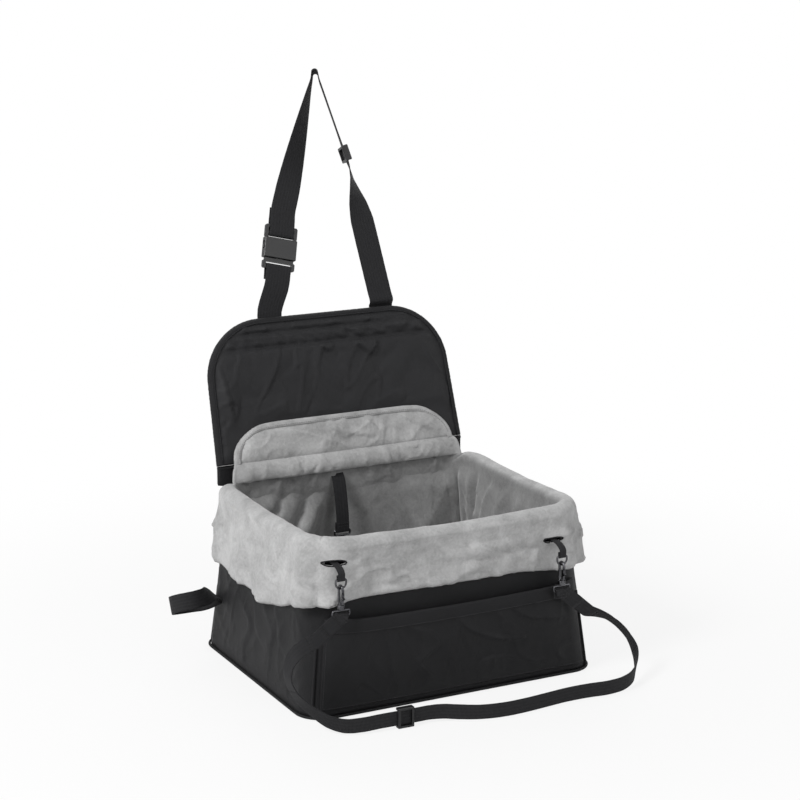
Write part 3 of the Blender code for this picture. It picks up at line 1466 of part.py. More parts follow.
def add_tether(materials):
    """The tether: webbing sewn at the rear rim, and the snap hook on its end."""
    fold = fold_line()
    cloth = NARROW_WEBBING_THICKNESS
    wrap = EYE_WIRE_RADIUS + GAP + cloth / 2
    bar = tether_bar()
    behind = fold.y - FOLD_TAPE_CLOTH / 2 - GAP - cloth / 2
    start = Vector((TETHER_X, behind, bar.z + TETHER_LENGTH))
    path = [start]
    for run, drop in TETHER_SHARES:
        y = start.y + (bar.y - wrap - start.y) * run
        path.append(Vector((TETHER_X, y, start.z - TETHER_LENGTH * drop)))
    for step in range(ARC_STEPS // 2 + 1):
        angle = 2 * pi * step / ARC_STEPS
        path.append(Vector((TETHER_X, bar.y - wrap * cos(angle), bar.z - wrap * sin(angle))))
    path.append(Vector((TETHER_X, bar.y + wrap, bar.z + EYE_LOOP)))
    across = [Vector((1, 0, 0))] * len(path)
    add_ribbon("tether_webbing", path, across, NARROW_WEBBING, cloth, materials["webbing"])
    add_snap_hook("tether", materials, bar + Vector((0, 0, hook_heights()[4])), pi)


def add_belt_loops(materials):
    """The seat belt loops: webbing folded into a teardrop and sewn at the rear."""
    cloth = NARROW_WEBBING_THICKNESS
    for side, name, along in ((-1, "left", -BELT_LOOP_DEPTH), (1, "right", BELT_LOOP_DEPTH)):
        wall = wall_point(name, along, BELT_LOOP_HEIGHT, BELT_LOOP_STAND_OFF)
        rows = [
            (
                wall.x + side * BELT_LOOP_LENGTH * run,
                BELT_LOOP_DEPTH,
                BELT_LOOP_HEIGHT + BELT_LOOP_RISE * rise,
            )
            for run, rise in BELT_LOOP_SHARES
        ]
        path = smooth_path(rows, 2)
        across = [Vector((0, 1, 0))] * len(path)
        mesh_name = f"belt_loop_{name}"
        add_ribbon(mesh_name, path, across, BELT_LOOP_WEBBING, cloth, materials["webbing"])


def main():
    clear_scene()
    materials = make_materials()
    add_base(materials)
    add_walls(materials)
    add_piping(materials)
    add_floor_pad(materials)
    add_lining(materials)
    add_pocket(materials)
    add_fold_tape(materials)
    pivot = add_empty("backrest_pivot", location=fold_line(), rotation=(-BACKREST_LEAN, 0, 0))
    add_backrest(materials, pivot)
    flap_pivot = add_empty("flap_pivot", parent=pivot, location=(0, -flap_seat(), FLAP_FOOT))
    add_flap(materials, flap_pivot)
    add_tail(materials, pivot)
    add_headrest_strap(materials, pivot)
    add_headrest_slider(materials, pivot)
    add_buckle(materials, pivot)
    for side in HOOK_PLACES:
        place = hook_place(side)
        add_ring_tab(f"ring_tab_{side}", materials, side)
        add_ring(f"d_ring_{side}", materials, place)
        add_snap_hook(f"front_{side}", materials, place)
    add_front_strap(materials)
    add_tether(materials)
    add_belt_loops(materials)


main()
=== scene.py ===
# %% [markdown]
# # A dog car seat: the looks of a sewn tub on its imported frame
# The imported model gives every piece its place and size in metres. This lesson
# dresses it: black woven nylon walls, a grey plush lining that folds out over the
# rim as a cuff, a padded backrest, black webbing, moulded buckle and plated hooks.
# Each step says what the real piece is before it is made.

from math import cos, pi, radians, sin, sqrt

import bmesh
import bpy
from mathutils import Matrix, Vector, noise


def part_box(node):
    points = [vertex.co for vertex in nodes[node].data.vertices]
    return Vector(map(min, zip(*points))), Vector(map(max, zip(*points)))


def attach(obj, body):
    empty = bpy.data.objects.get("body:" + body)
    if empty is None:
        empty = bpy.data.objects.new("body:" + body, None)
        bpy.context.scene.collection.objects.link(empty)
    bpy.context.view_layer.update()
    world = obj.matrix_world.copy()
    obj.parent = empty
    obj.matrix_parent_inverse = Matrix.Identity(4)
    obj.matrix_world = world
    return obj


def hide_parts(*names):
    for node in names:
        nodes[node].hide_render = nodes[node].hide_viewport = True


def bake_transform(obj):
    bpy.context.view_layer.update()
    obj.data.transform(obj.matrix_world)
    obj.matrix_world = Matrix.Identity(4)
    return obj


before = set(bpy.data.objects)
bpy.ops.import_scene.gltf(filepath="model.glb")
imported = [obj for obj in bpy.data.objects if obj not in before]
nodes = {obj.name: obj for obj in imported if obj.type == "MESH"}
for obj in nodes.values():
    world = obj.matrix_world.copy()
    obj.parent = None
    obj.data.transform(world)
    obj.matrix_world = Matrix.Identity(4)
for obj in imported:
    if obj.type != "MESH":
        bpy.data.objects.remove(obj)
scene = bpy.context.scene
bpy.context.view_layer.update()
print("nodes in the frame:", len(nodes))

# %% [markdown]
# ## Camera
# The photograph was taken from the seat's front left, a little above its rim. The
# camera stands 3 m away on a long lens, so the seat keeps its parallel look. It was
# fitted to the corners of the base, the rim and the backrest.

# %% Camera at the photograph's angle
CAMERA_AZIMUTH = radians(-27.4)
CAMERA_RISE = radians(13.6)
CAMERA_DISTANCE = 3.0
LENS_MM = 97.74
SENSOR_MM = 36.0
TARGET = Vector((0.007, 0.0, 0.370))

back_to_camera = Vector(
    (
        sin(CAMERA_AZIMUTH) * cos(CAMERA_RISE),
        -cos(CAMERA_AZIMUTH) * cos(CAMERA_RISE),
        sin(CAMERA_RISE),
    )
)
bpy.ops.object.camera_add(location=TARGET + CAMERA_DISTANCE * back_to_camera)
camera = bpy.context.object
camera.rotation_euler = back_to_camera.to_track_quat("Z", "Y").to_euler()
camera.data.lens = LENS_MM
camera.data.sensor_width = SENSOR_MM
scene.camera = camera

# %% [markdown]
# ## Helpers for cloth
# Sewn cloth is easiest to shape as a grid: one direction runs round or across the
# piece, the other up it. The grid is a primitive, and each of its vertices is then
# moved to its place. Its UV map is set in metres, so a weave keeps its real scale.


# %% A grid of cloth, its thickness and its place
MERGE_DISTANCE = 0.00005
HOLE_SIDES = 64
# Just short of a closed grid's end, where its last column meets its first.
NEARLY_ONE = 0.999999
CREASE_WARP = 0.6
CREASE_FLOOR = -0.05


def deselect():
    """Deselects all, because an operator acts on everything that is selected."""
    bpy.ops.object.select_all(action="DESELECT")


def set_in_mesh():
    """Writes the selected object's place, turn and scale into its mesh."""
    bpy.ops.object.transform_apply(location=True, rotation=True, scale=True)


def select_only(obj):
    """Makes one object the selected and active one."""
    deselect()
    obj.select_set(True)
    bpy.context.view_layer.objects.active = obj


def cloth_grid(name, columns, rows, place, size):
    """A grid whose point (u, v), from 0 to 1 each way, is moved to place(u, v)."""
    deselect()
    bpy.ops.mesh.primitive_grid_add(x_subdivisions=columns, y_subdivisions=rows, size=1)
    obj = bpy.context.object
    obj.name = obj.data.name = name
    for vertex in obj.data.vertices:
        vertex.co = place(vertex.co.x + 0.5, vertex.co.y + 0.5)
    for corner in obj.data.uv_layers.active.data:
        corner.uv = (corner.uv.x * size[0], corner.uv.y * size[1])
    obj.data.shade_smooth()
    return obj


def weld(obj, distance=MERGE_DISTANCE):
    """Joins the vertices that lie on each other, as at a grid's closing seam."""
    bm = bmesh.new()
    bm.from_mesh(obj.data)
    bmesh.ops.remove_doubles(bm, verts=bm.verts, dist=distance)
    bm.to_mesh(obj.data)
    bm.free()


def close_sheet(obj):
    """Welds the seam and closes what is still open."""
    bm = bmesh.new()
    bm.from_mesh(obj.data)
    bmesh.ops.remove_doubles(bm, verts=bm.verts, dist=MERGE_DISTANCE)
    open_edges = [edge for edge in bm.edges if edge.is_boundary]
    if open_edges:
        bmesh.ops.holes_fill(bm, edges=open_edges, sides=HOLE_SIDES)
    bmesh.ops.recalc_face_normals(bm, faces=bm.faces)
    bm.to_mesh(obj.data)
    bm.free()


def apply_all(obj):
    """Applies every modifier in turn."""
    select_only(obj)
    for modifier in list(obj.modifiers):
        bpy.ops.object.modifier_apply(modifier=modifier.name)


def join_all(name, pieces):
    """Joins the pieces into the first of them and names the result."""
    deselect()
    for piece in pieces:
        piece.select_set(True)
    bpy.context.view_layer.objects.active = pieces[0]
    bpy.ops.object.join()
    pieces[0].name = pieces[0].data.name = name
    return pieces[0]


def soften(obj):
    """Rounds a padded piece with one level of subdivision."""
    smooth = obj.modifiers.new("soften", "SUBSURF")
    smooth.levels = smooth.render_levels = 1
    apply_all(obj)


def break_edges(obj, width, segments=3):
    """Adds a bevel to a hard piece, or to a block that is still square."""
    broken = obj.modifiers.new("edge", "BEVEL")
    broken.width = width
    broken.segments = segments
    return broken


def thicken(obj, thickness):
    """Gives a sheet its cloth's thickness, half to each side."""
    solid = obj.modifiers.new("cloth", "SOLIDIFY")
    solid.thickness = thickness
    solid.offset = 0
    apply_all(obj)
    obj.data.shade_smooth()
    return obj


def bump(place, centre, width):
    """A smooth rise of height 1 at centre, gone at twice the width."""
    away = abs(place - centre) / (2 * width)
    return (1 + cos(pi * away)) / 2 if away < 1 else 0.0


def mix(low, high, share):
    """The value a share of the way from low to high."""
    return low + (high - low) * share


def ease(value):
    """A soft step from 0 to 1."""
    value = min(max(value, 0.0), 1.0)
    return value * value * (3 - 2 * value)


def crease(x, y, seed, size, angle=0.0, stretch=2.5):
    """Soft ridges such as cloth makes: from -1 to 1, long across the angle.

    The seed picks a pattern, size is a ridge's width in metres, and stretch is how
    many times longer than wide it is.
    """
    run = (x * cos(angle) + y * sin(angle)) / size
    across = (y * cos(angle) - x * sin(angle)) / size / stretch
    warp = CREASE_WARP * noise.noise(Vector((run * 0.5, across, seed + 7.7)))
    value = noise.noise(Vector((run + warp, across, seed)))
    return 1 - 2 * sqrt(abs(value)) if value > CREASE_FLOOR else value


# %% [markdown]
# ## The tub's outline
# The tub is a rounded rectangle that leans in towards its rim. These few numbers
# are the part's own, in metres, so every soft piece meets the solids behind it.

# %% Outline of the tub at any height
GAP = 0.0003
SOFT_GAP = 0.0006
BASE_HALF = (0.220, 0.178)
RIM_HALF = (0.197, 0.163)
CORNER_RADII = (0.034, 0.046)
WALL_HEIGHT = 0.228
BACK_WALL_HEIGHT = 0.222
WALL_BELLY = 0.005
SHELL_CLOTH = 0.0018
WALL_BOARD = 0.0050
BASE_BOARD = 0.0040
SIDES = ("front", "right", "back", "left")
# Halvings of a side that find a place on it to within a thousandth of a millimetre.
HALVINGS = 24


def side_sizes(side, height):
    """Half length, distance from the middle and corner radius of one side."""
    rise = height / WALL_HEIGHT
    half_width = mix(BASE_HALF[0], RIM_HALF[0], rise)
    half_depth = mix(BASE_HALF[1], RIM_HALF[1], rise)
    radius = mix(CORNER_RADII[0], CORNER_RADII[1], rise)
    if side in ("front", "back"):
        return half_width, half_depth, radius
    return half_depth, half_width, radius


def tub_point(side, share, height, offset):
    """A point of one side, from corner middle to corner middle, offset outward."""
    half_length, reach, radius = side_sizes(side, height)
    arc = radius * pi / 4
    straight = 2 * (half_length - radius)
    run = share * (straight + 2 * arc)
    angle = 0
    x = radius - half_length + run - arc
    if run < arc:
        x = radius - half_length
        angle = (run - arc) / radius
    elif run > arc + straight:
        x = half_length - radius
        angle = (run - arc - straight) / radius
    rise = min(max(height / WALL_HEIGHT, 0), 1)
    arm = radius + offset + WALL_BELLY * sin(pi * share) * sin(pi * rise)
    point = Vector((x + arm * sin(angle), radius - reach - arm * cos(angle), height))
    return Matrix.Rotation(SIDES.index(side) * pi / 2, 3, "Z") @ point


def wall_point(side, along, height, offset):
    """The point of a side at a distance along it, left to right seen from outside."""
    low, high = 0.0, 1.0
    turn = Matrix.Rotation(-SIDES.index(side) * pi / 2, 3, "Z")
    for _ in range(HALVINGS):
        share = (low + high) / 2
        if (turn @ tub_point(side, share, height, offset)).x < along:
            low = share
        else:
            high = share
    return tub_point(side, (low + high) / 2, height, offset)


def side_of(turn):
    """Side and share along it, for a turn of 0 to 4 round the tub from the front left."""
    index = min(int(turn), 3)
    return SIDES[index], turn - index


# %% [markdown]
# ## Materials
# Each finish starts from what the real one is. Colours are written as sRGB hex and
# one function turns them to linear. One small function adds a node with its settings
# and its links. Cloth reads its own UV map, which is in metres; moulded and plated
# pieces read Object coordinates.


# %% Colour and node helpers
def linear(code):
    """The linear colour of an sRGB hex code."""
    parts = [int(code[place : place + 2], 16) / 255 for place in (1, 3, 5)]
    curve = [part / 12.92 if part <= 0.04045 else ((part + 0.055) / 1.055) ** 2.4 for part in parts]
    return (*curve, 1.0)


def add_node(material, kind, inputs=(), **settings):
    """Adds a node with its settings; an input is a value or another node's output."""
    made = material.node_tree.nodes.new(kind)
    for name, value in settings.items():
        setattr(made, name, value)
    for name, value in dict(inputs).items():
        if isinstance(value, bpy.types.NodeSocket):
            material.node_tree.links.new(value, made.inputs[name])
        else:
            made.inputs[name].default_value = value
    return made


def new_material(name, roughness, metallic=0.0, **extra):
    """A material with its shader; extra names sockets with _ for a space."""
    material = bpy.data.materials.new(name)
    material.use_nodes = True
    shader = material.node_tree.nodes["Principled BSDF"]
    shader.inputs["Roughness"].default_value = roughness
    shader.inputs["Metallic"].default_value = metallic
    for socket, value in extra.items():
        shader.inputs[socket.replace("_", " ")].default_value = value
    return material, shader


def connect(material, start, end):
    """Links one socket to another."""
    material.node_tree.links.new(start, end)


def finish_material(material, shader, colour, height, strength, distance):
    """Links a colour and a bump height to the shader."""
    connect(material, colour, shader.inputs["Base Color"])
    bump_node = add_node(
        material, "ShaderNodeBump", {"Height": height, "Strength": strength, "Distance": distance}
    )
    connect(material, bump_node.outputs["Normal"], shader.inputs["Normal"])


def dress(obj, material):
    """Gives a piece or a CAD node one material."""
    if not obj.material_slots:
        obj.data.materials.append(material)
    for place in obj.material_slots:
        place.material = material


def finish_piece(piece, material, slot, body=None, *stands_for):
    """A piece's material, its slot (not used), the nodes it stands for and the body it rides on."""
    dress(piece, material)
    if stands_for:
        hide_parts(*stands_for)
    if body:
        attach(piece, body)


def set_ramp(tone, *stops):
    """Sets the two stops of a colour ramp, each a place and a colour code."""
    for element, (place, code) in zip(tone.color_ramp.elements, stops):
        element.position = place
        element.color = linear(code)


# %% [markdown]
# ### Woven and knitted finishes
# The walls are oxford nylon: a plain basket weave of flat yarns with a faint sheen.
# A 0.6 mm yarn is finer than a pixel here, so the weave is drawn at 1.3 mm. The
# lining is short pile plush, which has no gloss and catches light at grazing angles.
# Its inside is given painted shade, darker than the lamps alone make it, and an
# attribute on the mesh says where that shade lies.
# Webbing is woven in ribs across its length, 1.7 mm apart.


# %% Woven nylon
# A wave texture of scale 1 repeats every 0.314 m, so a pitch in metres divides that.
WAVE_PERIOD = 0.314
# Noise scales are spots to a metre: uneven dye 70 mm wide and fuzz of 1.1 mm.
DYE_CLOUDS, NYLON_FUZZ = 14.0, 900.0
# Yarn is matt, so a cloth mirrors less than a moulded face.
CLOTH_MIRROR = 0.22


def woven(name, dark, light, pitch, roughness, sheen, depth):
    """A basket weave on the UV map: one wave each way, swapped by a checker."""
    material, shader = new_material(name, roughness, Sheen_Weight=sheen, Sheen_Roughness=0.45)
    shader.inputs["Specular IOR Level"].default_value = CLOTH_MIRROR
    spot = add_node(material, "ShaderNodeTexCoord").outputs["UV"]
    place = add_node(material, "ShaderNodeTexCoord").outputs["Object"]
    wave = {"Vector": spot, "Scale": WAVE_PERIOD / pitch}
    across = add_node(material, "ShaderNodeTexWave", wave, bands_direction="X")
    along = add_node(material, "ShaderNodeTexWave", wave, bands_direction="Y")
    squares = add_node(material, "ShaderNodeTexChecker", {"Vector": spot, "Scale": 2 / pitch})
    weave = add_node(
        material,
        "ShaderNodeMix",
        {"Factor": squares.outputs["Fac"], "A": across.outputs["Fac"], "B": along.outputs["Fac"]},
    )
    cloud = add_node(
        material, "ShaderNodeTexNoise", {"Vector": place, "Scale": DYE_CLOUDS, "Detail": 5.0}
    )
    fuzz = add_node(
        material, "ShaderNodeTexNoise", {"Vector": place, "Scale": NYLON_FUZZ, "Detail": 2.0}
    )
    shade = add_node(
        material,
        "ShaderNodeMath",
        {0: cloud.outputs["Fac"], 1: 0.65, 2: weave.outputs["Result"]},
        operation="MULTIPLY_ADD",
    )
    tone = add_node(material, "ShaderNodeValToRGB", {"Fac": shade.outputs["Value"]})
    set_ramp(tone, (0.15, dark), (0.90, light))
    height = add_node(
        material,
        "ShaderNodeMath",
        {0: fuzz.outputs["Fac"], 1: 0.5, 2: weave.outputs["Result"]},
        operation="MULTIPLY_ADD",
    )
    finish_material(
        material, shader, tone.outputs["Color"], height.outputs["Value"], 0.5, depth
    )
    return material


shell_nylon = woven("oxford_nylon_black", "#0e0e0f", "#1e1e20", 0.0013, 0.55, 0.03, 0.00025)
panel_nylon = woven("oxford_nylon_charcoal", "#161617", "#2a2a2c", 0.0013, 0.55, 0.05, 0.00025)
binding_tape = woven("twill_binding_black", "#111112", "#222224", 0.0011, 0.70, 0.03, 0.00025)


# %% Short pile plush
# Painted shade: the colour that the plush is multiplied by where it faces into the tub.
PAINTED_SHADE_TINT = "#c4c4c4"
# Patches brushed one way are 38 mm wide, clumps of pile 4 mm and single fibres 1 mm.
BRUSH_PATCHES, PILE_CLUMPS, PILE_FIBRES = 26.0, 240.0, 1100.0


def paint_shade_share(piece, amount):
    """Notes on each vertex how much painted shade it takes; amount(vertex) gives it."""
    painted_shade = piece.data.attributes.new("painted_shade", "FLOAT", "POINT")
    for vertex in piece.data.vertices:
        painted_shade.data[vertex.index].value = amount(vertex)


def plush(name, dark, light):
    """Brushed pile: clumps, fine fibres, no gloss and a strong sheen at the edges."""
    material, shader = new_material(name, 0.95, Sheen_Weight=0.35, Sheen_Roughness=0.6)
    shader.inputs["Specular IOR Level"].default_value = 0.15
    place = add_node(material, "ShaderNodeTexCoord").outputs["Object"]
    brushed = add_node(
        material,
        "ShaderNodeTexNoise",
        {"Vector": place, "Scale": BRUSH_PATCHES, "Detail": 6.0, "Distortion": 0.8},
    )
    clumps = add_node(
        material,
        "ShaderNodeTexNoise",
        {"Vector": place, "Scale": PILE_CLUMPS, "Detail": 4.0, "Distortion": 0.6},
    )
    pile = add_node(
        material, "ShaderNodeTexNoise", {"Vector": place, "Scale": PILE_FIBRES, "Detail": 3.0}
    )
    shade = add_node(
        material,
        "ShaderNodeMath",
        {0: clumps.outputs["Fac"], 1: 0.55, 2: brushed.outputs["Fac"]},
        operation="MULTIPLY_ADD",
    )
    tone = add_node(material, "ShaderNodeValToRGB", {"Fac": shade.outputs["Value"]})
    set_ramp(tone, (0.50, dark), (1.0, light))
    # Painted shade: the tone is multiplied darker where the mesh's attribute asks for it.
    painted_shade = add_node(material, "ShaderNodeAttribute", attribute_name="painted_shade")
    shade_painted_tone = add_node(
        material,
        "ShaderNodeMix",
        {"Factor": painted_shade.outputs["Fac"], 6: tone.outputs["Color"], 7: linear(PAINTED_SHADE_TINT)},
        data_type="RGBA",
        blend_type="MULTIPLY",
    )
    height = add_node(
        material,
        "ShaderNodeMath",
        {0: pile.outputs["Fac"], 1: 0.45, 2: clumps.outputs["Fac"]},
        operation="MULTIPLY_ADD",
    )
    finish_material(material, shader, shade_painted_tone.outputs[2], height.outputs["Value"], 0.55, 0.0012)
    return material


grey_plush = plush("short_pile_plush_grey", "#a0a0a0", "#c9c9c9")


# %% Ribbed webbing
WARP_PITCH = 0.0022
WEBBING_FUZZ = 700.0


def ribbed(name, dark, light, pitch):
    """Ribs across the length of a webbing, from its UV map, with fuzzy yarn."""
    material, shader = new_material(name, 0.72, Sheen_Weight=0.05, Sheen_Roughness=0.4)
    shader.inputs["Specular IOR Level"].default_value = CLOTH_MIRROR
    spot = add_node(material, "ShaderNodeTexCoord").outputs["UV"]
    place = add_node(material, "ShaderNodeTexCoord").outputs["Object"]
    ribs = add_node(
        material,
        "ShaderNodeTexWave",
        {"Vector": spot, "Scale": WAVE_PERIOD / pitch, "Distortion": 0.4, "Detail": 1.0},
        bands_direction="Y",
    )
    yarns = add_node(
        material,
        "ShaderNodeTexWave",
        {"Vector": spot, "Scale": WAVE_PERIOD / WARP_PITCH},
        bands_direction="X",
    )
    fuzz = add_node(
        material, "ShaderNodeTexNoise", {"Vector": place, "Scale": WEBBING_FUZZ, "Detail": 3.0}
    )
    weave = add_node(
        material,
        "ShaderNodeMath",
        {0: yarns.outputs["Fac"], 1: 0.35, 2: ribs.outputs["Fac"]},
        operation="MULTIPLY_ADD",
    )
    shade = add_node(
        material,
        "ShaderNodeMath",
        {0: fuzz.outputs["Fac"], 1: 0.4, 2: weave.outputs["Value"]},
        operation="MULTIPLY_ADD",
    )
    tone = add_node(material, "ShaderNodeValToRGB", {"Fac": shade.outputs["Value"]})
    set_ramp(tone, (0.1, dark), (1.0, light))
    finish_material(
        material, shader, tone.outputs["Color"], shade.outputs["Value"], 0.6, 0.0004
    )
    return material


black_webbing = ribbed("polyester_webbing_black", "#0f0f10", "#2b2b2d", 0.0017)


# %% [markdown]
# ### Moulded, plated and hidden finishes
# The buckle and the sliders are moulded acetal, black all through, with a fine
# sparked grain that spreads its highlights. The hooks and rings are steel plated in
# black nickel, a dark mirror with faint uneven gloss. Thread is polyester. The
# boards are pressed fibre and the padding is foam: both are dull and lie hidden. All
# are one recipe with other values, because each is a plain colour with a fine grain.


# %% Moulded, plated and hidden finishes
# Handling leaves the gloss uneven in spots 17 mm wide.
GLOSS_SPOTS = 60.0


def speckled(name, dark, light, grain, roughness, metallic, depth, **extra):
    """A hard surface with fine grain and faint uneven gloss, from Object coordinates."""
    material, shader = new_material(name, roughness, metallic, **extra)
    place = add_node(material, "ShaderNodeTexCoord").outputs["Object"]
    fine = add_node(
        material, "ShaderNodeTexNoise", {"Vector": place, "Scale": grain, "Detail": 3.0}
    )
    broad = add_node(
        material, "ShaderNodeTexNoise", {"Vector": place, "Scale": GLOSS_SPOTS, "Detail": 4.0}
    )
    tone = add_node(material, "ShaderNodeValToRGB", {"Fac": broad.outputs["Fac"]})
    set_ramp(tone, (0.35, dark), (0.70, light))
    gloss = add_node(
        material,
        "ShaderNodeMapRange",
        {"Value": broad.outputs["Fac"], "To Min": roughness * 0.8, "To Max": roughness * 1.25},
    )
    connect(material, gloss.outputs["Result"], shader.inputs["Roughness"])
    finish_material(material, shader, tone.outputs["Color"], fine.outputs["Fac"], 0.35, depth)
    return material


acetal = speckled("moulded_acetal_black", "#111112", "#1b1b1d", 1500.0, 0.36, 0.0, 0.00008)
plated = speckled("black_nickel_plate", "#4b4b4e", "#6a6a6d", 900.0, 0.24, 1.0, 0.00004)
fibreboard = speckled("pressed_fibreboard", "#7d7260", "#9a8e79", 700.0, 0.85, 0.0, 0.0003)
foam_sheet = speckled("polyether_foam", "#cfcabb", "#e2decf", 500.0, 0.95, 0.0, 0.0006)
black_thread = speckled("polyester_thread_black", "#1d1d1f", "#38383b", 1200.0, 0.6, 0.0, 0.0001)
grey_thread = speckled("polyester_thread_grey", "#757575", "#959595", 1200.0, 0.7, 0.0, 0.0001)

# %% [markdown]
# ## Floor, light and background
# A pale floor takes the shadow. Camera, glossy and transmission rays see a white
# surround, and the rest of the light is a grey dome with three large soft lamps.

# %% Studio
FLOOR_HALF = 30.0
FLOOR_HEIGHT = -0.0004
# The floor's own white grows from its level by the seat to full at a distance.
SHADE_FROM, SHADE_TO, SHADE_LEVEL = 0.35, 1.1, 0.84
SKY_LEVEL = 0.32
LAMP_AIM = Vector((0, 0, 0.25))
LAMPS = (
    ("key_softbox", (-2.5, -0.7, 2.3), 0.9, 62),
    ("fill_softbox", (0.9, -2.6, 1.3), 1.6, 10),
    ("rim_softbox", (0.6, 1.6, 2.2), 1.2, 14),
)
deselect()
bpy.ops.mesh.primitive_plane_add(size=2 * FLOOR_HALF, location=(0, 0, FLOOR_HEIGHT))
floor = bpy.context.object
floor.name = "studio_floor"
floor_paint, floor_shader = new_material("matt_white_paint", 0.9)
floor_shader.inputs["Base Color"].default_value = linear("#f4f4f4")
white_light = add_node(floor_paint, "ShaderNodeEmission", {"Color": (1, 1, 1, 1), "Strength": 1.0})
floor_spot = add_node(floor_paint, "ShaderNodeTexCoord").outputs["Object"]
away = add_node(floor_paint, "ShaderNodeVectorMath", {0: floor_spot}, operation="LENGTH")
lit = add_node(
    floor_paint,
    "ShaderNodeMapRange",
    {
        "Value": away.outputs["Value"],
        "From Min": SHADE_FROM,
        "From Max": SHADE_TO,
        "To Min": SHADE_LEVEL,
        "To Max": 1.0,
    },
    interpolation_type="SMOOTHSTEP",
)
ray = add_node(floor_paint, "ShaderNodeLightPath")
seen = add_node(
    floor_paint,
    "ShaderNodeMath",
    {0: ray.outputs["Is Camera Ray"], 1: lit.outputs["Result"]},
    operation="MULTIPLY",
)
blended = add_node(floor_paint, "ShaderNodeMixShader", {"Fac": seen.outputs["Value"]})
connect(floor_paint, floor_shader.outputs["BSDF"], blended.inputs[1])
connect(floor_paint, white_light.outputs["Emission"], blended.inputs[2])
surface = floor_paint.node_tree.nodes["Material Output"].inputs["Surface"]
connect(floor_paint, blended.outputs["Shader"], surface)
dress(floor, floor_paint)

world = bpy.data.worlds.new("studio")
world.use_nodes = True
scene.world = world
dome = world.node_tree.nodes["Background"]
rays = add_node(world, "ShaderNodeLightPath")
camera_or_gloss = add_node(
    world,
    "ShaderNodeMath",
    {0: rays.outputs["Is Camera Ray"], 1: rays.outputs["Is Glossy Ray"]},
    operation="MAXIMUM",
)
white_rays = add_node(
    world,
    "ShaderNodeMath",
    {0: camera_or_gloss.outputs[0], 1: rays.outputs["Is Transmission Ray"]},
    operation="MAXIMUM",
)
level = add_node(
    world, "ShaderNodeMapRange", {"Value": white_rays.outputs[0], "To Min": SKY_LEVEL, "To Max": 1.0}
)
connect(world, level.outputs["Result"], dome.inputs["Strength"])
dome.inputs["Color"].default_value = (1, 1, 1, 1)
scene.view_settings.view_transform = "Standard"


def softbox(name, place, size, power):
    """A square area lamp that faces the seat."""
    bpy.ops.object.light_add(type="AREA", location=place)
    lamp = bpy.context.object
    lamp.name = name
    lamp.data.size = size
    lamp.data.energy = power
    lamp.rotation_euler = (Vector(place) - LAMP_AIM).to_track_quat("Z", "Y").to_euler()


for lamp_row in LAMPS:
    softbox(*lamp_row)

# %% [markdown]
# ## Walls
# The walls are four nylon panels sewn at the corners over stiff boards. They lie
# flat at their seams and wrinkle between them, so one closed grid runs round the
# tub and its wrinkles fade out at the base seam, the corners and the rim.


# %% Nylon walls
WALL_FOOT = 0.0021
WRINKLE_DEPTH = 0.0034
# Metres of one side and of a wall's height, which the fold patterns run over.
SIDE_RUN, WALL_RUN = 0.36, 0.23
CORNER_SHARE = 0.12
SEAM_SHARE = 0.10
# Each set of folds is a seed, a size in metres, an angle and a stretch, for crease.
LONG_WRINKLES = (3.0, 0.045, 0.9, 2.6)
CROSS_WRINKLES = (9.0, 0.030, -0.7, 2.2)
# The pocket pulls the front wall flat.
FRONT_SLACK = 0.25


def along_back(turn):
    """1 along the rear side and 0 elsewhere, with a soft step at its corners."""
    return ease((turn - 2) / CORNER_SHARE + 0.5) * ease((3 - turn) / CORNER_SHARE + 0.5)


def wall_top(turn):
    """Height of the wall's top, lower along the rear."""
    return mix(WALL_HEIGHT, BACK_WALL_HEIGHT, along_back(turn))


def wall_wrinkle(turn, rise):
    """How far the nylon stands off its board here."""
    side, share = side_of(turn)
    run = turn * SIDE_RUN
    seam = ease(share / SEAM_SHARE) * ease((1 - share) / SEAM_SHARE)
    free = seam * ease(rise / SEAM_SHARE) * ease((1.02 - rise) / 0.25)
    long_folds = crease(run, rise * WALL_RUN, *LONG_WRINKLES)
    cross_folds = crease(run, rise * WALL_RUN, *CROSS_WRINKLES)
    fine = noise.noise(Vector((run * 40, rise * 9, 2.0)))
    slack = 0.50 + 0.42 * long_folds + 0.30 * cross_folds + 0.12 * fine
    share_kept = FRONT_SLACK if side == "front" else 1.0
    if side == "back":
        share_kept = ease((0.80 - rise) / 0.15)
    return WRINKLE_DEPTH * free * max(slack, 0) * share_kept


def wall_place(u, v):
    """Once round the tub with u, and up the wall with v."""
    turn = 4 * min(u, NEARLY_ONE)
    side, share = side_of(turn)
    height = WALL_FOOT + (wall_top(turn) - WALL_FOOT) * v
    return tub_point(side, share, height, wall_wrinkle(turn, v) - SHELL_CLOTH / 2)


tub_walls = cloth_grid("tub_walls", 360, 44, wall_place, (1.48, 0.226))
weld(tub_walls)
thicken(tub_walls, SHELL_CLOTH)
finish_piece(tub_walls, shell_nylon, "nylon", "tub", *[f"wall_{side}" for side in SIDES])
print("walls:", len(tub_walls.data.polygons), "faces")


# %% Underside
BOTTOM_SAG = 0.0004


def bottom_place(u, v):
    """Rings of the outline, drawn in towards the middle."""
    side, share = side_of(4 * min(u, NEARLY_ONE))
    edge = tub_point(side, share, 0, 0)
    inward = v**0.8
    sag = BOTTOM_SAG * (1 + noise.noise(Vector((edge.x * 20, edge.y * 20, v * 4))))
    lift = SHELL_CLOTH / 2 + sag * ease(v * 4) * 0.4
    return Vector((edge.x * (1 - inward), edge.y * (1 - inward), lift))


tub_bottom = cloth_grid("tub_bottom", 160, 24, bottom_place, (1.5, 0.2))
weld(tub_bottom)
thicken(tub_bottom, SHELL_CLOTH * 0.9)
finish_piece(tub_bottom, shell_nylon, "nylon", "tub", "base_panel")
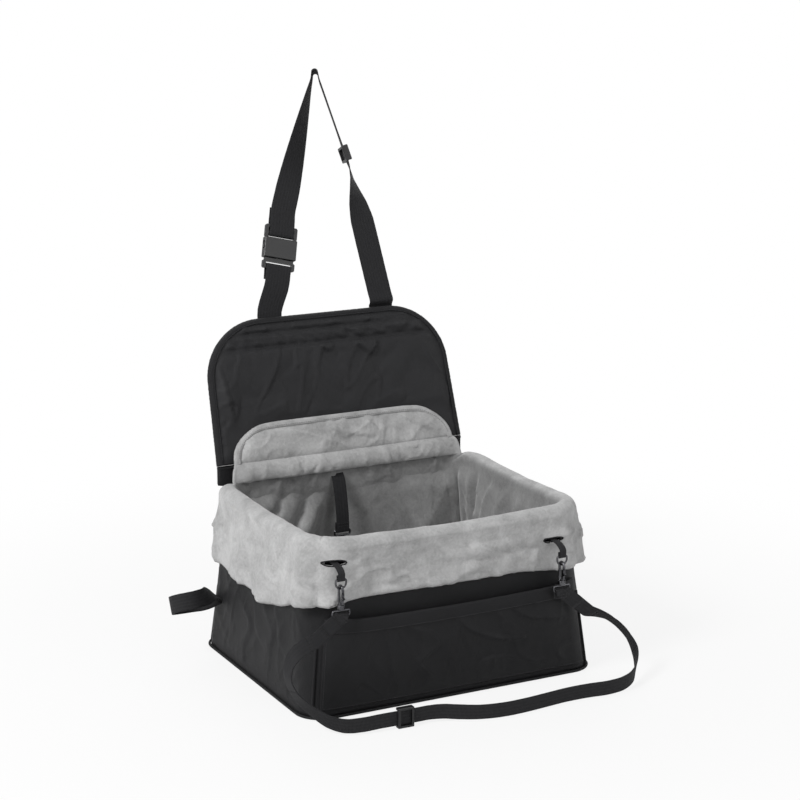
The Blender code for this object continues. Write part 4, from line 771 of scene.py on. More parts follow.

# %% [markdown]
# ## Piping
# The seams round the base and up the corners are piped: a cord wrapped in bias tape
# and caught in the seam. Each is a small circle swept along its seam, with a slight
# ripple where the tape gathers.


# %% Piped seams
PIPING_RADIUS = 0.0018
PIPING_SIDES = 12
BASE_STEPS = 300
CORNER_STEPS = 40
CORNER_PIPING_TOP = 0.112
# A bar's vertices are this close only where its seam meets itself.
BAR_MERGE = 0.000002


def sweep(name, path, radius, sides, closed=False):
    """A round bar along a path; radius is a number, or gives one for a share of it."""
    count = len(path)
    rows = count if closed else count - 1
    normals = []
    normal = None
    for index, point in enumerate(path):
        ahead = path[(index + 1) % count] if closed or index + 1 < count else point
        behind = path[index - 1] if closed or index else point
        tangent = (ahead - behind).normalized()
        if normal is None:
            normal = tangent.orthogonal().normalized()
        normal = (normal - tangent * normal.dot(tangent)).normalized()
        normals.append((normal, tangent.cross(normal)))

    def place(u, v):
        index = round(v * rows) % count if closed else round(v * rows)
        first, second = normals[index]
        angle = 2 * pi * (round(u * sides) % sides) / sides
        size = radius(index / rows) if callable(radius) else radius
        return path[index] + (first * cos(angle) + second * sin(angle)) * size

    length = sum((b - a).length for a, b in zip(path, path[1:]))
    girth = 2 * pi * (radius(0.5) if callable(radius) else radius)
    bar = cloth_grid(name, sides, rows, place, (girth, length))
    weld(bar, BAR_MERGE)
    bm = bmesh.new()
    bm.from_mesh(bar.data)
    bmesh.ops.holes_fill(bm, edges=bm.edges, sides=sides + 1)
    bmesh.ops.recalc_face_normals(bm, faces=bm.faces)
    bm.to_mesh(bar.data)
    bm.free()
    bar.data.shade_smooth()
    return bar


def piping_ripple(share):
    """The cord's radius, which swells and thins where the tape gathers."""
    return PIPING_RADIUS * (1 + 0.06 * noise.noise(Vector((share * 160, 0, 0))))


base_line = [
    tub_point(*side_of(4 * step / BASE_STEPS), 0, PIPING_RADIUS + GAP)
    + Vector((0, 0, PIPING_RADIUS + GAP))
    for step in range(BASE_STEPS)
]
base_piping = sweep("base_piping_cord", base_line, piping_ripple, PIPING_SIDES, closed=True)
finish_piece(base_piping, binding_tape, "webbing", "tub", "base_piping")
corner_names = ("front_left", "front_right", "back_right", "back_left")
for index, corner in enumerate(corner_names):
    foot = 2 * PIPING_RADIUS + 2 * GAP
    heights = [mix(foot, CORNER_PIPING_TOP, step / CORNER_STEPS) for step in range(CORNER_STEPS + 1)]
    path = [tub_point(SIDES[index], 0, height, PIPING_RADIUS + GAP) for height in heights]
    cord = sweep(f"corner_cord_{corner}", path, piping_ripple, PIPING_SIDES)
    finish_piece(cord, binding_tape, "webbing", "tub", f"corner_piping_{corner}")

# %% [markdown]
# ## Plush lining and cuff
# One sheet of plush goes up the inside of the tub, over the rim in a soft roll, and
# down the outside of three sides as a loose cuff. Inside it is only caught at the
# foot, so it sags in broad folds, with puckers between them where it is drawn in.
# The cuff hangs free at its lower edge and gathers at the corners. It is shaped as
# two grids that share the rim's row of points. Along the rear the roll is slimmer,
# because the flap's web covers it there.

# %% Lining profile
LINING_CLOTH = 0.0040
LINING_FOOT = SHELL_CLOTH + GAP + BASE_BOARD + 2 * GAP
LINING_FLAT = -(SHELL_CLOTH + GAP + WALL_BOARD + GAP + LINING_CLOTH / 2)
LINING_SAG = 0.020
ROLL_RADIUS = 0.0115
BACK_ROLL_RADIUS = 0.0050
RIM_DIP = 0.004
# Each sag: its middle along the side, its width there and its share of the depth.
SAG_SHARES = {
    "front": ((0.30, 0.16, 0.45), (0.72, 0.15, 0.50)),
    "right": ((0.35, 0.16, 0.70), (0.72, 0.13, 0.55)),
    "left": ((0.32, 0.14, 0.60), (0.70, 0.15, 1.00)),
    "back": ((0.22, 0.12, 0.60), (0.50, 0.08, 0.15), (0.78, 0.13, 0.75)),
}
# Each pucker: its middle, its width, its share of the depth and how far it slants.
PUCKERS = {
    "front": ((0.30, 0.020, 0.4, 0.10),),
    "right": ((0.84, 0.022, 0.9, 0.06), (0.45, 0.030, 0.4, -0.20)),
    "back": (
        (0.24, 0.022, 0.4, -0.15),
        (0.64, 0.022, 0.6, 0.16),
        (0.75, 0.020, 0.8, 0.26),
        (0.87, 0.018, 0.7, 0.30),
    ),
    "left": ((0.25, 0.025, 0.6, -0.20), (0.60, 0.030, 0.4, 0.20)),
}
PUFF = 0.0115
CORNER_VALLEY = 0.032
TETHER_SHARE, TETHER_PRESS, TETHER_VALLEY = 0.55, 0.9, 0.06
LINING_FOLDS = (21.0, 0.060, 0.55, 3.2)
LINING_CREASES = (27.0, 0.036, -0.5, 2.6)
LINING_COLUMNS = 92
INSIDE_ROWS = 38
ROLL_ROWS = 12
CUFF_ROWS = 34


def rim_radius(turn):
    """Radius of the rim's roll."""
    return mix(ROLL_RADIUS, BACK_ROLL_RADIUS, along_back(turn))


def lining_depth(turn, rise):
    """Offset of the lining inside the wall, with its sag and soft folds."""
    side, share = side_of(turn)
    run = turn * SIDE_RUN
    sag = sum(depth * bump(share, centre, width) for centre, width, depth in SAG_SHARES[side])
    sag_depth = LINING_SAG * sag * sin(pi * min(rise, 1)) ** 2
    folds = crease(run, rise * WALL_RUN, *LINING_FOLDS)
    folds += 0.6 * crease(run, rise * WALL_RUN, *LINING_CREASES)
    keep = ease(rise / 0.15) * ease((1.0 - rise) / 0.16)
    valley = 1 - ease(min(share, 1 - share) / CORNER_VALLEY)
    for centre, width, depth, slant in PUCKERS[side]:
        valley = max(valley, depth * bump(share + slant * (rise - 0.6), centre, width))
    if side == "back":
        valley = max(valley, TETHER_PRESS * bump(share, TETHER_SHARE, TETHER_VALLEY))
    body = PUFF * keep * min(max(0.75 + folds * 0.45, 0.25), 1.2)
    return LINING_FLAT - sag_depth * (1 - 0.7 * valley) - body * (1 - valley)


def inside_place(turn, share_up):
    """The lining's inside, from its foot to the wall's top."""
    side, share = side_of(turn)
    top = wall_top(turn)
    height = mix(LINING_FOOT, top, share_up)
    return tub_point(side, share, height, lining_depth(turn, share_up))


def roll_place(turn, share_over):
    """The rim's roll: half a turn from the inside to the outside."""
    side, share = side_of(turn)
    radius = rim_radius(turn)
    inner = lining_depth(turn, 1)
    angle = pi * share_over
    dip = 0 if side == "back" else RIM_DIP * sin(pi * share) ** 2 / ROLL_RADIUS
    run = turn * SIDE_RUN
    soft = 0.0012 * noise.noise(Vector((run * 22, share_over * 1.5, 5.0)))
    soft += 0.0007 * noise.noise(Vector((run * 60, share_over * 3, 15.0)))
    grow = 1 + (soft / radius if side != "back" else 0) * sin(angle)
    height = wall_top(turn) + radius * sin(angle) * (1 - dip) * grow
    return tub_point(side, share, height, inner + radius - radius * cos(angle) * grow)


# %% Cuff profile
def cuff_depth(turn):
    """How far the cuff hangs below the wall's top, round three sides."""
    side, share = side_of(turn)
    if side == "front":
        depth = mix(0.075, 0.068, ease(share / 0.16))
        return mix(depth, 0.077, ease((share - 0.70) / 0.30))
    if side == "right":
        return mix(0.077, 0.097, ease(share / 0.30))
    depth = mix(0.095, 0.101, ease(share / 0.45))
    return mix(depth, 0.075, ease((share - 0.66) / 0.34))


# Each fold: its middle along the side, its width, its depth and how far it slants.
CUFF_FOLDS = {
    "front": (
        *((0.03, 0.03, 0.9, 0), (0.2, 0.035, -0.3, 0.1), (0.4, 0.05, -0.3, 0.2)),
        *((0.6, 0.045, 0.3, 0.1), (0.955, 0.022, 0.9, 0)),
    ),
    "right": (
        *((0.05, 0.03, 0.9, 0), (0.3, 0.06, -0.5, 0.1), (0.6, 0.05, 0.6, -0.1), (0.9, 0.05, 0.3, 0)),
    ),
    "left": (
        *((0.06, 0.045, 0.7, 0.1), (0.2, 0.03, -0.5, 0.16), (0.36, 0.05, 0.6, 0.18)),
        *((0.5, 0.03, -0.5, 0.18), (0.66, 0.05, 0.9, 0.16), (0.8, 0.025, -0.6, 0.1)),
        (0.95, 0.04, 1.5, 0),
    ),
}
CUFF_RUN = 0.10
CUFF_RIPPLES = (33.0, 0.042, 0.6, 2.2)
CUFF_CREASES = (41.0, 0.024, -0.6, 1.8)
# How far the cuff's middle stands off the wall: at the rim, lower down, and at least.
RIM_STAND, SNUG_STAND, LEAST_STAND = 0.0110, 0.0072, 0.0060
FOLD_STAND, FRONT_FOLD_STAND, RIPPLE_STAND = 0.0105, 0.0072, 0.0038
SWELL, TUCK, HEM_TUCK = 0.0030, 0.0026, 0.0026
# The cuff is sewn flat round its two slits, here by their share and drop.
SLIT_STAND = 0.0068
SLIT_SPOTS = ((0.105, 0.22), (0.855, 0.38))


def cuff_stand(turn, drop):
    """How far outside the wall the cuff's middle hangs."""
    side, share = side_of(turn)
    run = turn * SIDE_RUN
    slanted = [
        depth * bump(share + slant * (drop - 0.5) * 0.6, centre, width)
        for centre, width, depth, slant in CUFF_FOLDS[side]
    ]
    snug = mix(RIM_STAND, SNUG_STAND, ease(drop * 2.2))
    ripples = crease(run, drop * CUFF_RUN, *CUFF_RIPPLES)
    ripples += 0.5 * crease(run, drop * CUFF_RUN, *CUFF_CREASES)
    loose = ease(drop / 0.5)
    fold = mix(FOLD_STAND, FRONT_FOLD_STAND, ease(share * 8)) if side == "front" else FOLD_STAND
    stand = snug + fold * sum(slanted) * (0.25 + 0.75 * loose) + RIPPLE_STAND * loose * ripples
    stand += 0.0006 * noise.noise(Vector((run * 90, drop * 9, 2.0)))
    if side == "front":
        inner = ease((share - 0.28) / 0.2)
        swell = bump(drop, mix(0.56, 0.34, share), 0.09) * inner
        tuck = bump(drop, mix(0.72, 0.50, share), 0.07) * inner * ease((0.97 - share) / 0.1)
        stand += SWELL * swell - TUCK * tuck
        nearness = [abs(share - spot) / 0.05 + abs(drop - fall) * 3 for spot, fall in SLIT_SPOTS]
        stand = mix(SLIT_STAND, stand, ease(0.25 + min(1.0, *nearness)))
    hem = ease((drop - 0.955) / 0.045)
    return max(stand, LEAST_STAND) - HEM_TUCK * hem


def cuff_place(turn, drop):
    """The cuff, from the roll's outer edge down to its hem."""
    side, share = side_of(turn)
    run = turn * SIDE_RUN
    wave = 0.0016 * noise.noise(Vector((run * 18, 0.0, 8.0))) * drop
    height = wall_top(turn) - (cuff_depth(turn) + wave) * drop
    start = roll_place(turn, 1.0)
    place = tub_point(side, share, height, cuff_stand(turn, drop))
    share_kept = ease(drop / 0.10)
    return start.lerp(place, share_kept) if drop < 0.10 else place


# %% Lining and cuff as one sheet
SHEET_MERGE = 0.0002


def lining_place(u, v):
    """Once round with u; up the inside and over the roll with v."""
    turn = 4 * min(u, NEARLY_ONE)
    edge = INSIDE_ROWS / (INSIDE_ROWS + ROLL_ROWS)
    if v <= edge:
        return inside_place(turn, v / edge)
    return roll_place(turn, (v - edge) / (1 - edge))


def cuff_grid_place(u, v):
    """From the rear left corner by way of the front to the rear right corner."""
    turn = (3 + 3 * u) % 4
    if u > NEARLY_ONE:
        turn = 1 + NEARLY_ONE
    return cuff_place(min(turn, 3 + NEARLY_ONE), v)


lining = cloth_grid(
    "plush_lining", 4 * LINING_COLUMNS, INSIDE_ROWS + ROLL_ROWS, lining_place, (1.46, 0.262)
)
weld(lining)
cuff = cloth_grid("plush_cuff", 3 * LINING_COLUMNS, CUFF_ROWS, cuff_grid_place, (1.10, 0.10))
join_all("plush_lining", [lining, cuff])
weld(lining, SHEET_MERGE)


def facing_in(vertex):
    """Painted shade: 1 where the plush faces into the tub, 0 on top of the roll and on the cuff."""
    outward = Vector((vertex.co.x / RIM_HALF[0], vertex.co.y / RIM_HALF[1], 0)).normalized()
    return ease((vertex.normal.dot(outward) - 0.35) / 0.6)


# Painted shade on the plush that faces into the tub.
paint_shade_share(lining, facing_in)
thicken(lining, LINING_CLOTH)
print("lining:", len(lining.data.polygons), "faces")

# %% [markdown]
# ### Slits for the hooks
# Two buttonholes in the front of the cuff let the ring tabs out. Each is cut with a
# flattened cylinder and edged with a thin corded binding.

# %% Slits and their binding
SLIT_HALF_WIDTH = 0.0150
SLIT_HALF_HEIGHT = 0.0032
SLIT_STEPS = 64
SLIT_BINDING_RADIUS = 0.0009
SLIT_BINDING_REACH = 0.0004
CUTTER_LENGTH, CUTTER_Y = 0.05, -0.19
HOOK_PLACES = {"left": (-0.178, 0.211), "right": (0.150, 0.197)}


def cuff_surface(x, height, offset):
    """The point of the front cuff at this place, offset from its middle."""
    low, high = 0.0, 1.0
    for _ in range(HALVINGS):
        share = (low + high) / 2
        drop = (wall_top(share) - height) / cuff_depth(share)
        if tub_point("front", share, height, cuff_stand(share, drop) + offset).x < x:
            low = share
        else:
            high = share
    return tub_point("front", low, height, cuff_stand(low, drop) + offset)


for side, (slit_x, slit_height) in HOOK_PLACES.items():
    deselect()
    bpy.ops.mesh.primitive_cylinder_add(
        vertices=48,
        radius=1,
        depth=CUTTER_LENGTH,
        location=(slit_x, CUTTER_Y, slit_height),
        rotation=(pi / 2, 0, 0),
    )
    cutter = bpy.context.object
    cutter.scale = (SLIT_HALF_WIDTH, SLIT_HALF_HEIGHT, 1)
    set_in_mesh()
    cut = lining.modifiers.new("slit", "BOOLEAN")
    cut.operation = "DIFFERENCE"
    cut.solver = "EXACT"
    cut.object = cutter
    apply_all(lining)
    bpy.data.objects.remove(cutter)
    rim = []
    for step in range(SLIT_STEPS):
        angle = 2 * pi * step / SLIT_STEPS
        x = slit_x + (SLIT_HALF_WIDTH + SLIT_BINDING_REACH) * cos(angle)
        z = slit_height + (SLIT_HALF_HEIGHT + SLIT_BINDING_REACH) * sin(angle)
        rim.append(cuff_surface(x, z, LINING_CLOTH / 2))
    binding = sweep(f"slit_binding_{side}", rim, SLIT_BINDING_RADIUS, 10, closed=True)
    finish_piece(binding, binding_tape, "webbing", "tub")
lining.data.shade_smooth()
finish_piece(lining, grey_plush, "plush", "tub", *[f"lining_{side}" for side in SIDES])

# %% [markdown]
# ## Padded pieces
# Padding is made by letting cloth wrinkle by itself. A finished surface is grown a
# little between the seams that hold it and pushed out by light pressure, over a few
# frames of cloth simulation. How far a point may move is capped, and it may not go
# through what lies behind it. The result is written back to the mesh.


# %% Let a sewn sheet swell and wrinkle
CLOTH_FRAMES = 18
CLOTH_SETTINGS = {
    "quality": 6,
    "mass": 0.15,
    "tension_stiffness": 20,
    "compression_stiffness": 20,
    "shear_stiffness": 8,
    "air_damping": 2.0,
}
# A start that isn't quite smooth, so that the wrinkles have somewhere to begin.
UNEVEN = 0.0003
EULER = 2.71828


def let_wrinkle(obj, held, grow, pressure, cap, outward=None, bending=0.6):
    """Grows the cloth between its held vertices; outward(co) keeps it to one side."""
    rest = [vertex.co.copy() for vertex in obj.data.vertices]
    for vertex in obj.data.vertices:
        seed = noise.noise(vertex.co * 60.0)
        vertex.co = vertex.co + vertex.normal * UNEVEN * seed
    group = obj.vertex_groups.new(name="sewn")
    group.add(held, 1.0, "ADD")
    cloth = obj.modifiers.new("cloth", "CLOTH")
    settings = cloth.settings
    for setting, value in CLOTH_SETTINGS.items():
        setattr(settings, setting, value)
    settings.bending_stiffness = bending
    settings.shrink_min = -grow
    settings.vertex_group_mass = "sewn"
    settings.use_pressure = pressure > 0
    settings.uniform_pressure_force = pressure
    settings.effector_weights.gravity = 0
    cloth.collision_settings.use_collision = False
    cloth.point_cache.frame_start = 1
    cloth.point_cache.frame_end = CLOTH_FRAMES
    for step in range(1, CLOTH_FRAMES + 1):
        scene.frame_set(step)
    shown = obj.evaluated_get(bpy.context.evaluated_depsgraph_get())
    moved = [vertex.co.copy() for vertex in shown.data.vertices]
    obj.modifiers.remove(cloth)
    obj.vertex_groups.remove(group)
    scene.frame_set(1)
    widest = 0.0
    for vertex, start, end in zip(obj.data.vertices, rest, moved):
        way = end - start
        if outward is not None:
            normal = outward(start)
            inward = min(way.dot(normal), 0)
            way = way - normal * inward
        length = way.length
        if length > 1e-9:
            way = way * (cap * (1 - EULER ** (-length / cap)) / length)
        widest = max(widest, way.length)
        vertex.co = start + way
    print(f"{obj.name}: cloth moved up to {widest * 1000:.1f} mm")
    return obj


def edge_vertices(obj, columns, margin):
    """The vertices in the outer rows and columns of a grid, by their index."""
    count = len(obj.data.vertices)
    wide = columns + 1
    high = count // wide
    return [
        index
        for index in range(count)
        if index % wide < margin
        or index % wide >= wide - margin
        or index // wide < margin
        or index // wide >= high - margin
    ]


# %% [markdown]
# ## Front pocket
# The pocket is one nylon panel, sewn flat to the front wall at its sides and foot.
# Its mouth stands open a little, with a folded hem and a row of stitches below it.

# %% Pocket panel
POCKET_TOP = 0.134
POCKET_FOOT = 0.012
POCKET_CLOTH = 0.0014
POCKET_BULGE = 0.015
HEM_HEIGHT = 0.018
HEM_CLOTH = 0.0009
# The share of the hem's cloth that lies in front; the rest wraps over the mouth.
HEM_FRONT = 0.85
POCKET_SIDE_SHARE = 0.022
POCKET_SAG = 0.0018
POCKET_SLACK = 0.0020
# Width and height that the pocket's folds run over, in metres.
POCKET_RUN = (0.40, 0.12)
POCKET_FOLDS = (51.0, 0.040, 1.2, 3.2)
POCKET_CREASES = (57.0, 0.026, 0.2, 2.4)


def pocket_offset(share, rise):
    """How far the pocket stands off the wall."""
    edge = min(share, 1 - share) / 0.16
    spread = sin(pi / 2 * min(edge, 1))
    return SOFT_GAP + GAP + POCKET_CLOTH / 2 + POCKET_BULGE * spread * sqrt(max(rise, 0))


def pocket_place(u, v, proud=0.0):
    """A point of the pocket, or of what lies proud of it."""
    height = mix(POCKET_FOOT, POCKET_TOP, v)
    across = mix(POCKET_SIDE_SHARE, 1 - POCKET_SIDE_SHARE, u)
    sag = POCKET_SAG * sin(pi * u) * v**3
    loose = ease(min(u, 1 - u) / 0.12) * ease(v / 0.2)
    x, z = u * POCKET_RUN[0], v * POCKET_RUN[1]
    folds = crease(x, z, *POCKET_FOLDS) + 0.6 * crease(x, z, *POCKET_CREASES)
    hem = 1 - 0.75 * ease((v - 0.82) / 0.06)
    slack = POCKET_SLACK * loose * hem * max(folds, -0.6)
    offset = pocket_offset(u, v) + slack + proud
    return tub_point("front", across, height - sag, max(offset, SOFT_GAP + POCKET_CLOTH))


pocket = cloth_grid("pocket_panel", 150, 56, pocket_place, (0.405, 0.122))
thicken(pocket, POCKET_CLOTH)
finish_piece(pocket, shell_nylon, "nylon", "tub", "front_pocket")


def hem_place(u, v):
    """The folded hem, which also wraps over the mouth's edge."""
    ends = mix(0.008, 0.992, u)
    start = 1 - HEM_HEIGHT / (POCKET_TOP - POCKET_FOOT)
    rise = mix(start, 1.0, min(v / HEM_FRONT, 1))
    proud = POCKET_CLOTH / 2 + HEM_CLOTH
    over = max((v - HEM_FRONT) / (1 - HEM_FRONT), 0)
    place = pocket_place(ends, rise, proud * (1 - 2 * over) if over else proud)
    puff = 0.0005 * sin(pi * min(v / HEM_FRONT, 1))
    return place + Vector((0, -puff, 0.0011 * sin(pi * over)))


hem = cloth_grid("pocket_hem_fold", 150, 14, hem_place, (0.40, 0.022))
thicken(hem, HEM_CLOTH)
finish_piece(hem, binding_tape, "webbing", "tub", "pocket_hem")

# %% [markdown]
# ## Stitches
# A seam shows as a dashed line of thread. One stitch is modelled from a small
# sphere, stretched and pressed into the cloth at both ends, and then copied along
# each seam at a 3.5 mm pitch.

# %% One stitch and rows of it
STITCH_PITCH = 0.0035
THREAD = 0.00042
# Half a stitch's length, as a share of the pitch; the rest of it is the gap.
STITCH_SHARE = 0.39
SEAM_STEPS = 60

deselect()
bpy.ops.mesh.primitive_uv_sphere_add(segments=6, ring_count=5, radius=1, rotation=(0, pi / 2, 0))
stitch = bpy.context.object
stitch.scale = (THREAD, THREAD, STITCH_PITCH * STITCH_SHARE)
bpy.ops.object.transform_apply(location=False, rotation=True, scale=True)
stitch_mesh = stitch.data
for vertex in stitch_mesh.vertices:
    vertex.co.z -= THREAD * (vertex.co.x / (STITCH_PITCH * 0.4)) ** 2
bpy.data.objects.remove(stitch)


def along(path, distance):
    """The point at a distance along a path, and the direction there."""
    for start, end in zip(path, path[1:]):
        length = (end - start).length
        if distance <= length:
            return start.lerp(end, distance / max(length, 1e-9)), (end - start).normalized()
        distance -= length
    return path[-1], (path[-1] - path[-2]).normalized()


def stitch_row(name, path, out, material, body, thread_slot, pitch=STITCH_PITCH):
    """Stitches along a path; out is the way off the cloth."""
    total = sum((b - a).length for a, b in zip(path, path[1:]))
    count = max(int(total / pitch), 1)
    bm = bmesh.new()
    for index in range(count):
        spot, run = along(path, (index + 0.5) * total / count)
        up = (out - run * out.dot(run)).normalized()
        turn = Matrix((run, up.cross(run), up)).transposed().to_4x4()
        copy = stitch_mesh.copy()
        copy.transform(Matrix.Translation(spot + up * THREAD * 0.4) @ turn)
        bm.from_mesh(copy)
        bpy.data.meshes.remove(copy)
    mesh = bpy.data.meshes.new(name)
    bm.to_mesh(mesh)
    bm.free()
    row = bpy.data.objects.new(name, mesh)
    scene.collection.objects.link(row)
    mesh.shade_smooth()
    finish_piece(row, material, thread_slot, body)


def seam_shares(low, high, steps):
    """Evenly spaced shares from low to high, both included."""
    return [mix(low, high, step / steps) for step in range(steps + 1)]


FORWARD = Vector((0, -1, 0))
proud = POCKET_CLOTH / 2 + 0.0014
seam = [pocket_place(u, 0.865, proud) for u in seam_shares(0.02, 0.98, SEAM_STEPS)]
stitch_row("hem_stitches", seam, FORWARD, black_thread, "tub", "webbing")
for u, label in ((0.010, "left"), (0.990, "right")):
    seam = [pocket_place(u, v, POCKET_CLOTH / 2) for v in seam_shares(0.03, 0.99, SEAM_STEPS // 2)]
    middle = seam[len(seam) // 2]
    facing = (middle - Vector((0, 0, middle.z))).normalized()
    stitch_row(f"pocket_stitches_{label}", seam, facing, black_thread, "tub", "webbing")
seam = [pocket_place(u, 0.022, POCKET_CLOTH / 2) for u in seam_shares(0.01, 0.99, SEAM_STEPS)]
stitch_row("pocket_stitches_foot", seam, FORWARD, black_thread, "tub", "webbing")

# %% [markdown]
# ## Floor pad
# The pad is a plush cushion with a crowned top and two sewn channels each way. A
# block in the place of its solid is remeshed and blown up as cloth, and the channels
# are then pressed into its top.

# %% Floor pad
PAD_ROOM = 0.010
PAD_HEIGHT, PAD_MIDDLE = 0.021, 0.011
PAD_CORNER = 0.008
PAD_VOXEL = 0.0055
PAD_GROW, PAD_PRESSURE, PAD_CAP = 0.035, 4.0, 0.008
PAD_CHANNELS = (-0.4, 0.4)
CHANNEL_WIDTH, CHANNEL_DEPTH = 0.009, 0.0055
PAD_CROWN = 0.0085
pad_low, pad_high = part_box("floor_pad")
half_x, half_y, pad_foot = pad_high[0], pad_high[1], pad_low[2]
middle = [(low + high) / 2 for low, high in zip(pad_low, pad_high)]
deselect()
bpy.ops.mesh.primitive_cube_add(size=1, location=(middle[0], middle[1], pad_foot + PAD_MIDDLE))
pad = bpy.context.object
pad.name = pad.data.name = "plush_floor_pad"
pad.scale = (half_x - pad_low[0] - PAD_ROOM, half_y - pad_low[1] - PAD_ROOM, PAD_HEIGHT)
set_in_mesh()
break_edges(pad, PAD_CORNER)
fine = pad.modifiers.new("fine", "REMESH")
fine.mode = "VOXEL"
fine.voxel_size = PAD_VOXEL
apply_all(pad)
let_wrinkle(pad, [], PAD_GROW, PAD_PRESSURE, PAD_CAP)
for vertex in pad.data.vertices:
    spot = vertex.co
    u, v = spot.x / half_x, spot.y / half_y
    across = max(bump(u * half_x, place * half_x, CHANNEL_WIDTH) for place in PAD_CHANNELS)
    deep = max(bump(v * half_y, place * half_y, CHANNEL_WIDTH) for place in PAD_CHANNELS)
    top = ease((spot.z - pad_foot - 0.012) / 0.01)
    crown = PAD_CROWN * (1 - abs(u) ** 4) * (1 - abs(v) ** 4)
    spot.z += top * (crown - CHANNEL_DEPTH * max(across, deep))
    spot.z = max(spot.z, pad_foot + 0.0002)
    spot.x = min(max(spot.x, pad_low[0]), half_x)
    spot.y = min(max(spot.y, pad_low[1]), half_y)
soften(pad)
pad.data.shade_smooth()
dress(pad, grey_plush)
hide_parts("floor_pad")
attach(pad, "tub")

# %% [markdown]
# ## Backrest
# The backrest folds forward on a piped seam above the rear rim. Its front is a
# charcoal nylon panel over thin foam, gathered in a band between two rows of
# stitches near the top, and its edge is closed by folded binding tape.

# %% Backrest frame and outline
FOLD_LINE = Vector((0, 0.170095, 0.256))
BACKREST_LEAN = radians(18)
back_frame = Matrix.Translation(FOLD_LINE) @ Matrix.Rotation(-BACKREST_LEAN, 4, "X")
back_out = (back_frame.to_3x3() @ Vector((0, -1, 0))).normalized()
FOLD_BEAD_RADIUS = 0.0024
BACKREST_HEIGHT = 0.207
BACKREST_FORM = (BACKREST_HEIGHT, 0.197, 0.190, 0.086)
BACKREST_CLOTH = 0.0014
BACKREST_FOAM = 0.0060
BACKREST_SKIN = BACKREST_FOAM / 2 + GAP + BACKREST_CLOTH / 2
BACKREST_THICKNESS = 2 * BACKREST_SKIN + BACKREST_CLOTH
STITCH_LINES = (BACKREST_HEIGHT - 0.018, BACKREST_HEIGHT - 0.040)
BINDING_CLOTH = 0.0012
BINDING_FLANGE = 0.0032
BACK_SWELL, BACK_SLACK, BACK_GATHERS = 0.0030, 0.0046, 0.0055
BACK_DRAPE = (61.0, 0.062, 0.25, 3.2)
BACK_CREASES = (67.0, 0.036, -0.5, 2.6)
REAR_DRAPE = (71.0, 0.06, 0.4, 3.0)


def panel_half_width(height, form):
    """Half the width of a panel with two rounded top corners."""
    whole_height, foot_width, top_width, radius = form
    taper = mix(foot_width, top_width, height / whole_height)
    up = height - (whole_height - radius)
    return taper - radius + sqrt(max(radius**2 - up**2, 0)) if up > 0 else taper


def panel_height(v, form):
    """Heights that close up towards the rounded corner's top."""
    whole_height, _, _, radius = form
    straight = whole_height - radius
    share = straight / (straight + radius * pi / 2)
    if v < share:
        return straight * v / share
    return straight + radius * sin(pi / 2 * (v - share) / (1 - share))


def panel_point(u, v, form, inset, foot, depth, frame_matrix):
    """A point of a panel; depth(room, height, x) is its way off the middle."""
    height = panel_height(v, form)
    half = panel_half_width(height, form) - inset
    x = half * (2 * u - 1)
    z = foot + height * (1 - (foot + inset) / form[0])
    room = min(half - abs(x), form[0] - height)
    return frame_matrix @ Vector((x, depth(room, height, x), z))


def backrest_front_depth(room, height, x):
    """Padding, the gathered band between the stitch lines, and soft creases."""
    swell = sin(pi / 2 * min(max((room - 0.005) / 0.016, 0), 1)) * min(1, height / 0.014)
    for line in STITCH_LINES:
        swell *= 1 - bump(height, line, 0.004)
    band = bump(height, sum(STITCH_LINES) / 2, 0.009)
    gathers = BACK_GATHERS * band * noise.noise(Vector((x * 62 + height * 30, height * 40, 3.0)))
    drape = crease(x, height, *BACK_DRAPE) + 0.5 * crease(x, height, *BACK_CREASES)
    slack = BACK_SLACK * swell * (1 - band) * max(drape + 0.2, 0)
    return -BACKREST_SKIN - BACK_SWELL * swell - gathers * swell - slack


# %% Backrest front and rear cloth
binding_reach = (BACKREST_THICKNESS / 2 + GAP + BINDING_CLOTH / 2) * 0.8 + BINDING_CLOTH / 2
BACK_INSET = binding_reach + GAP
BACK_FOOT = FOLD_BEAD_RADIUS + GAP
BACK_COLUMNS = 128
BACK_ROWS = 84
BACK_SIZE = (0.38, 0.20)
# Sewn down: this far in from the edge and the foot, and this near a line of stitches.
SEWN_EDGE, SEWN_FOOT, SEWN_LINE = 0.0105, 0.008, 0.0016
BACK_GROW, BACK_PRESSURE, BACK_CAP = 0.028, 1.2, 0.0042
# Behind the flap the panel is held back, and above it the limit eases off.
FLAP_ZONE = 0.045
BEHIND_FLAP = 0.0068


def backrest_place(depth):
    """Gives the function that places a backrest panel with this depth."""
    return lambda u, v: panel_point(u, v, BACKREST_FORM, BACK_INSET, BACK_FOOT, depth, back_frame)


front_panel = cloth_grid(
    "backrest_front_panel", BACK_COLUMNS, BACK_ROWS, backrest_place(backrest_front_depth), BACK_SIZE
)
to_panel = back_frame.inverted()
sewn = []
for vertex in front_panel.data.vertices:
    spot = to_panel @ vertex.co
    room = min(panel_half_width(spot.z, BACKREST_FORM) - abs(spot.x), BACKREST_HEIGHT - spot.z)
    by_stitches = any(abs(spot.z - line) < SEWN_LINE for line in STITCH_LINES)
    if room < SEWN_EDGE or spot.z < SEWN_FOOT or by_stitches:
        sewn.append(vertex.index)
let_wrinkle(
    front_panel, sewn, BACK_GROW, BACK_PRESSURE, BACK_CAP, lambda spot: back_out, bending=1.2
)
for vertex in front_panel.data.vertices:
    spot = to_panel @ vertex.co
    reach = BEHIND_FLAP + 0.008 * ease((spot.z - FLAP_ZONE) / 0.045)
    spot.y = max(spot.y, -reach)
    vertex.co = back_frame @ spot
thicken(front_panel, BACKREST_CLOTH)
dress(front_panel, panel_nylon)
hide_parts("backrest_front")
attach(front_panel, "backrest")


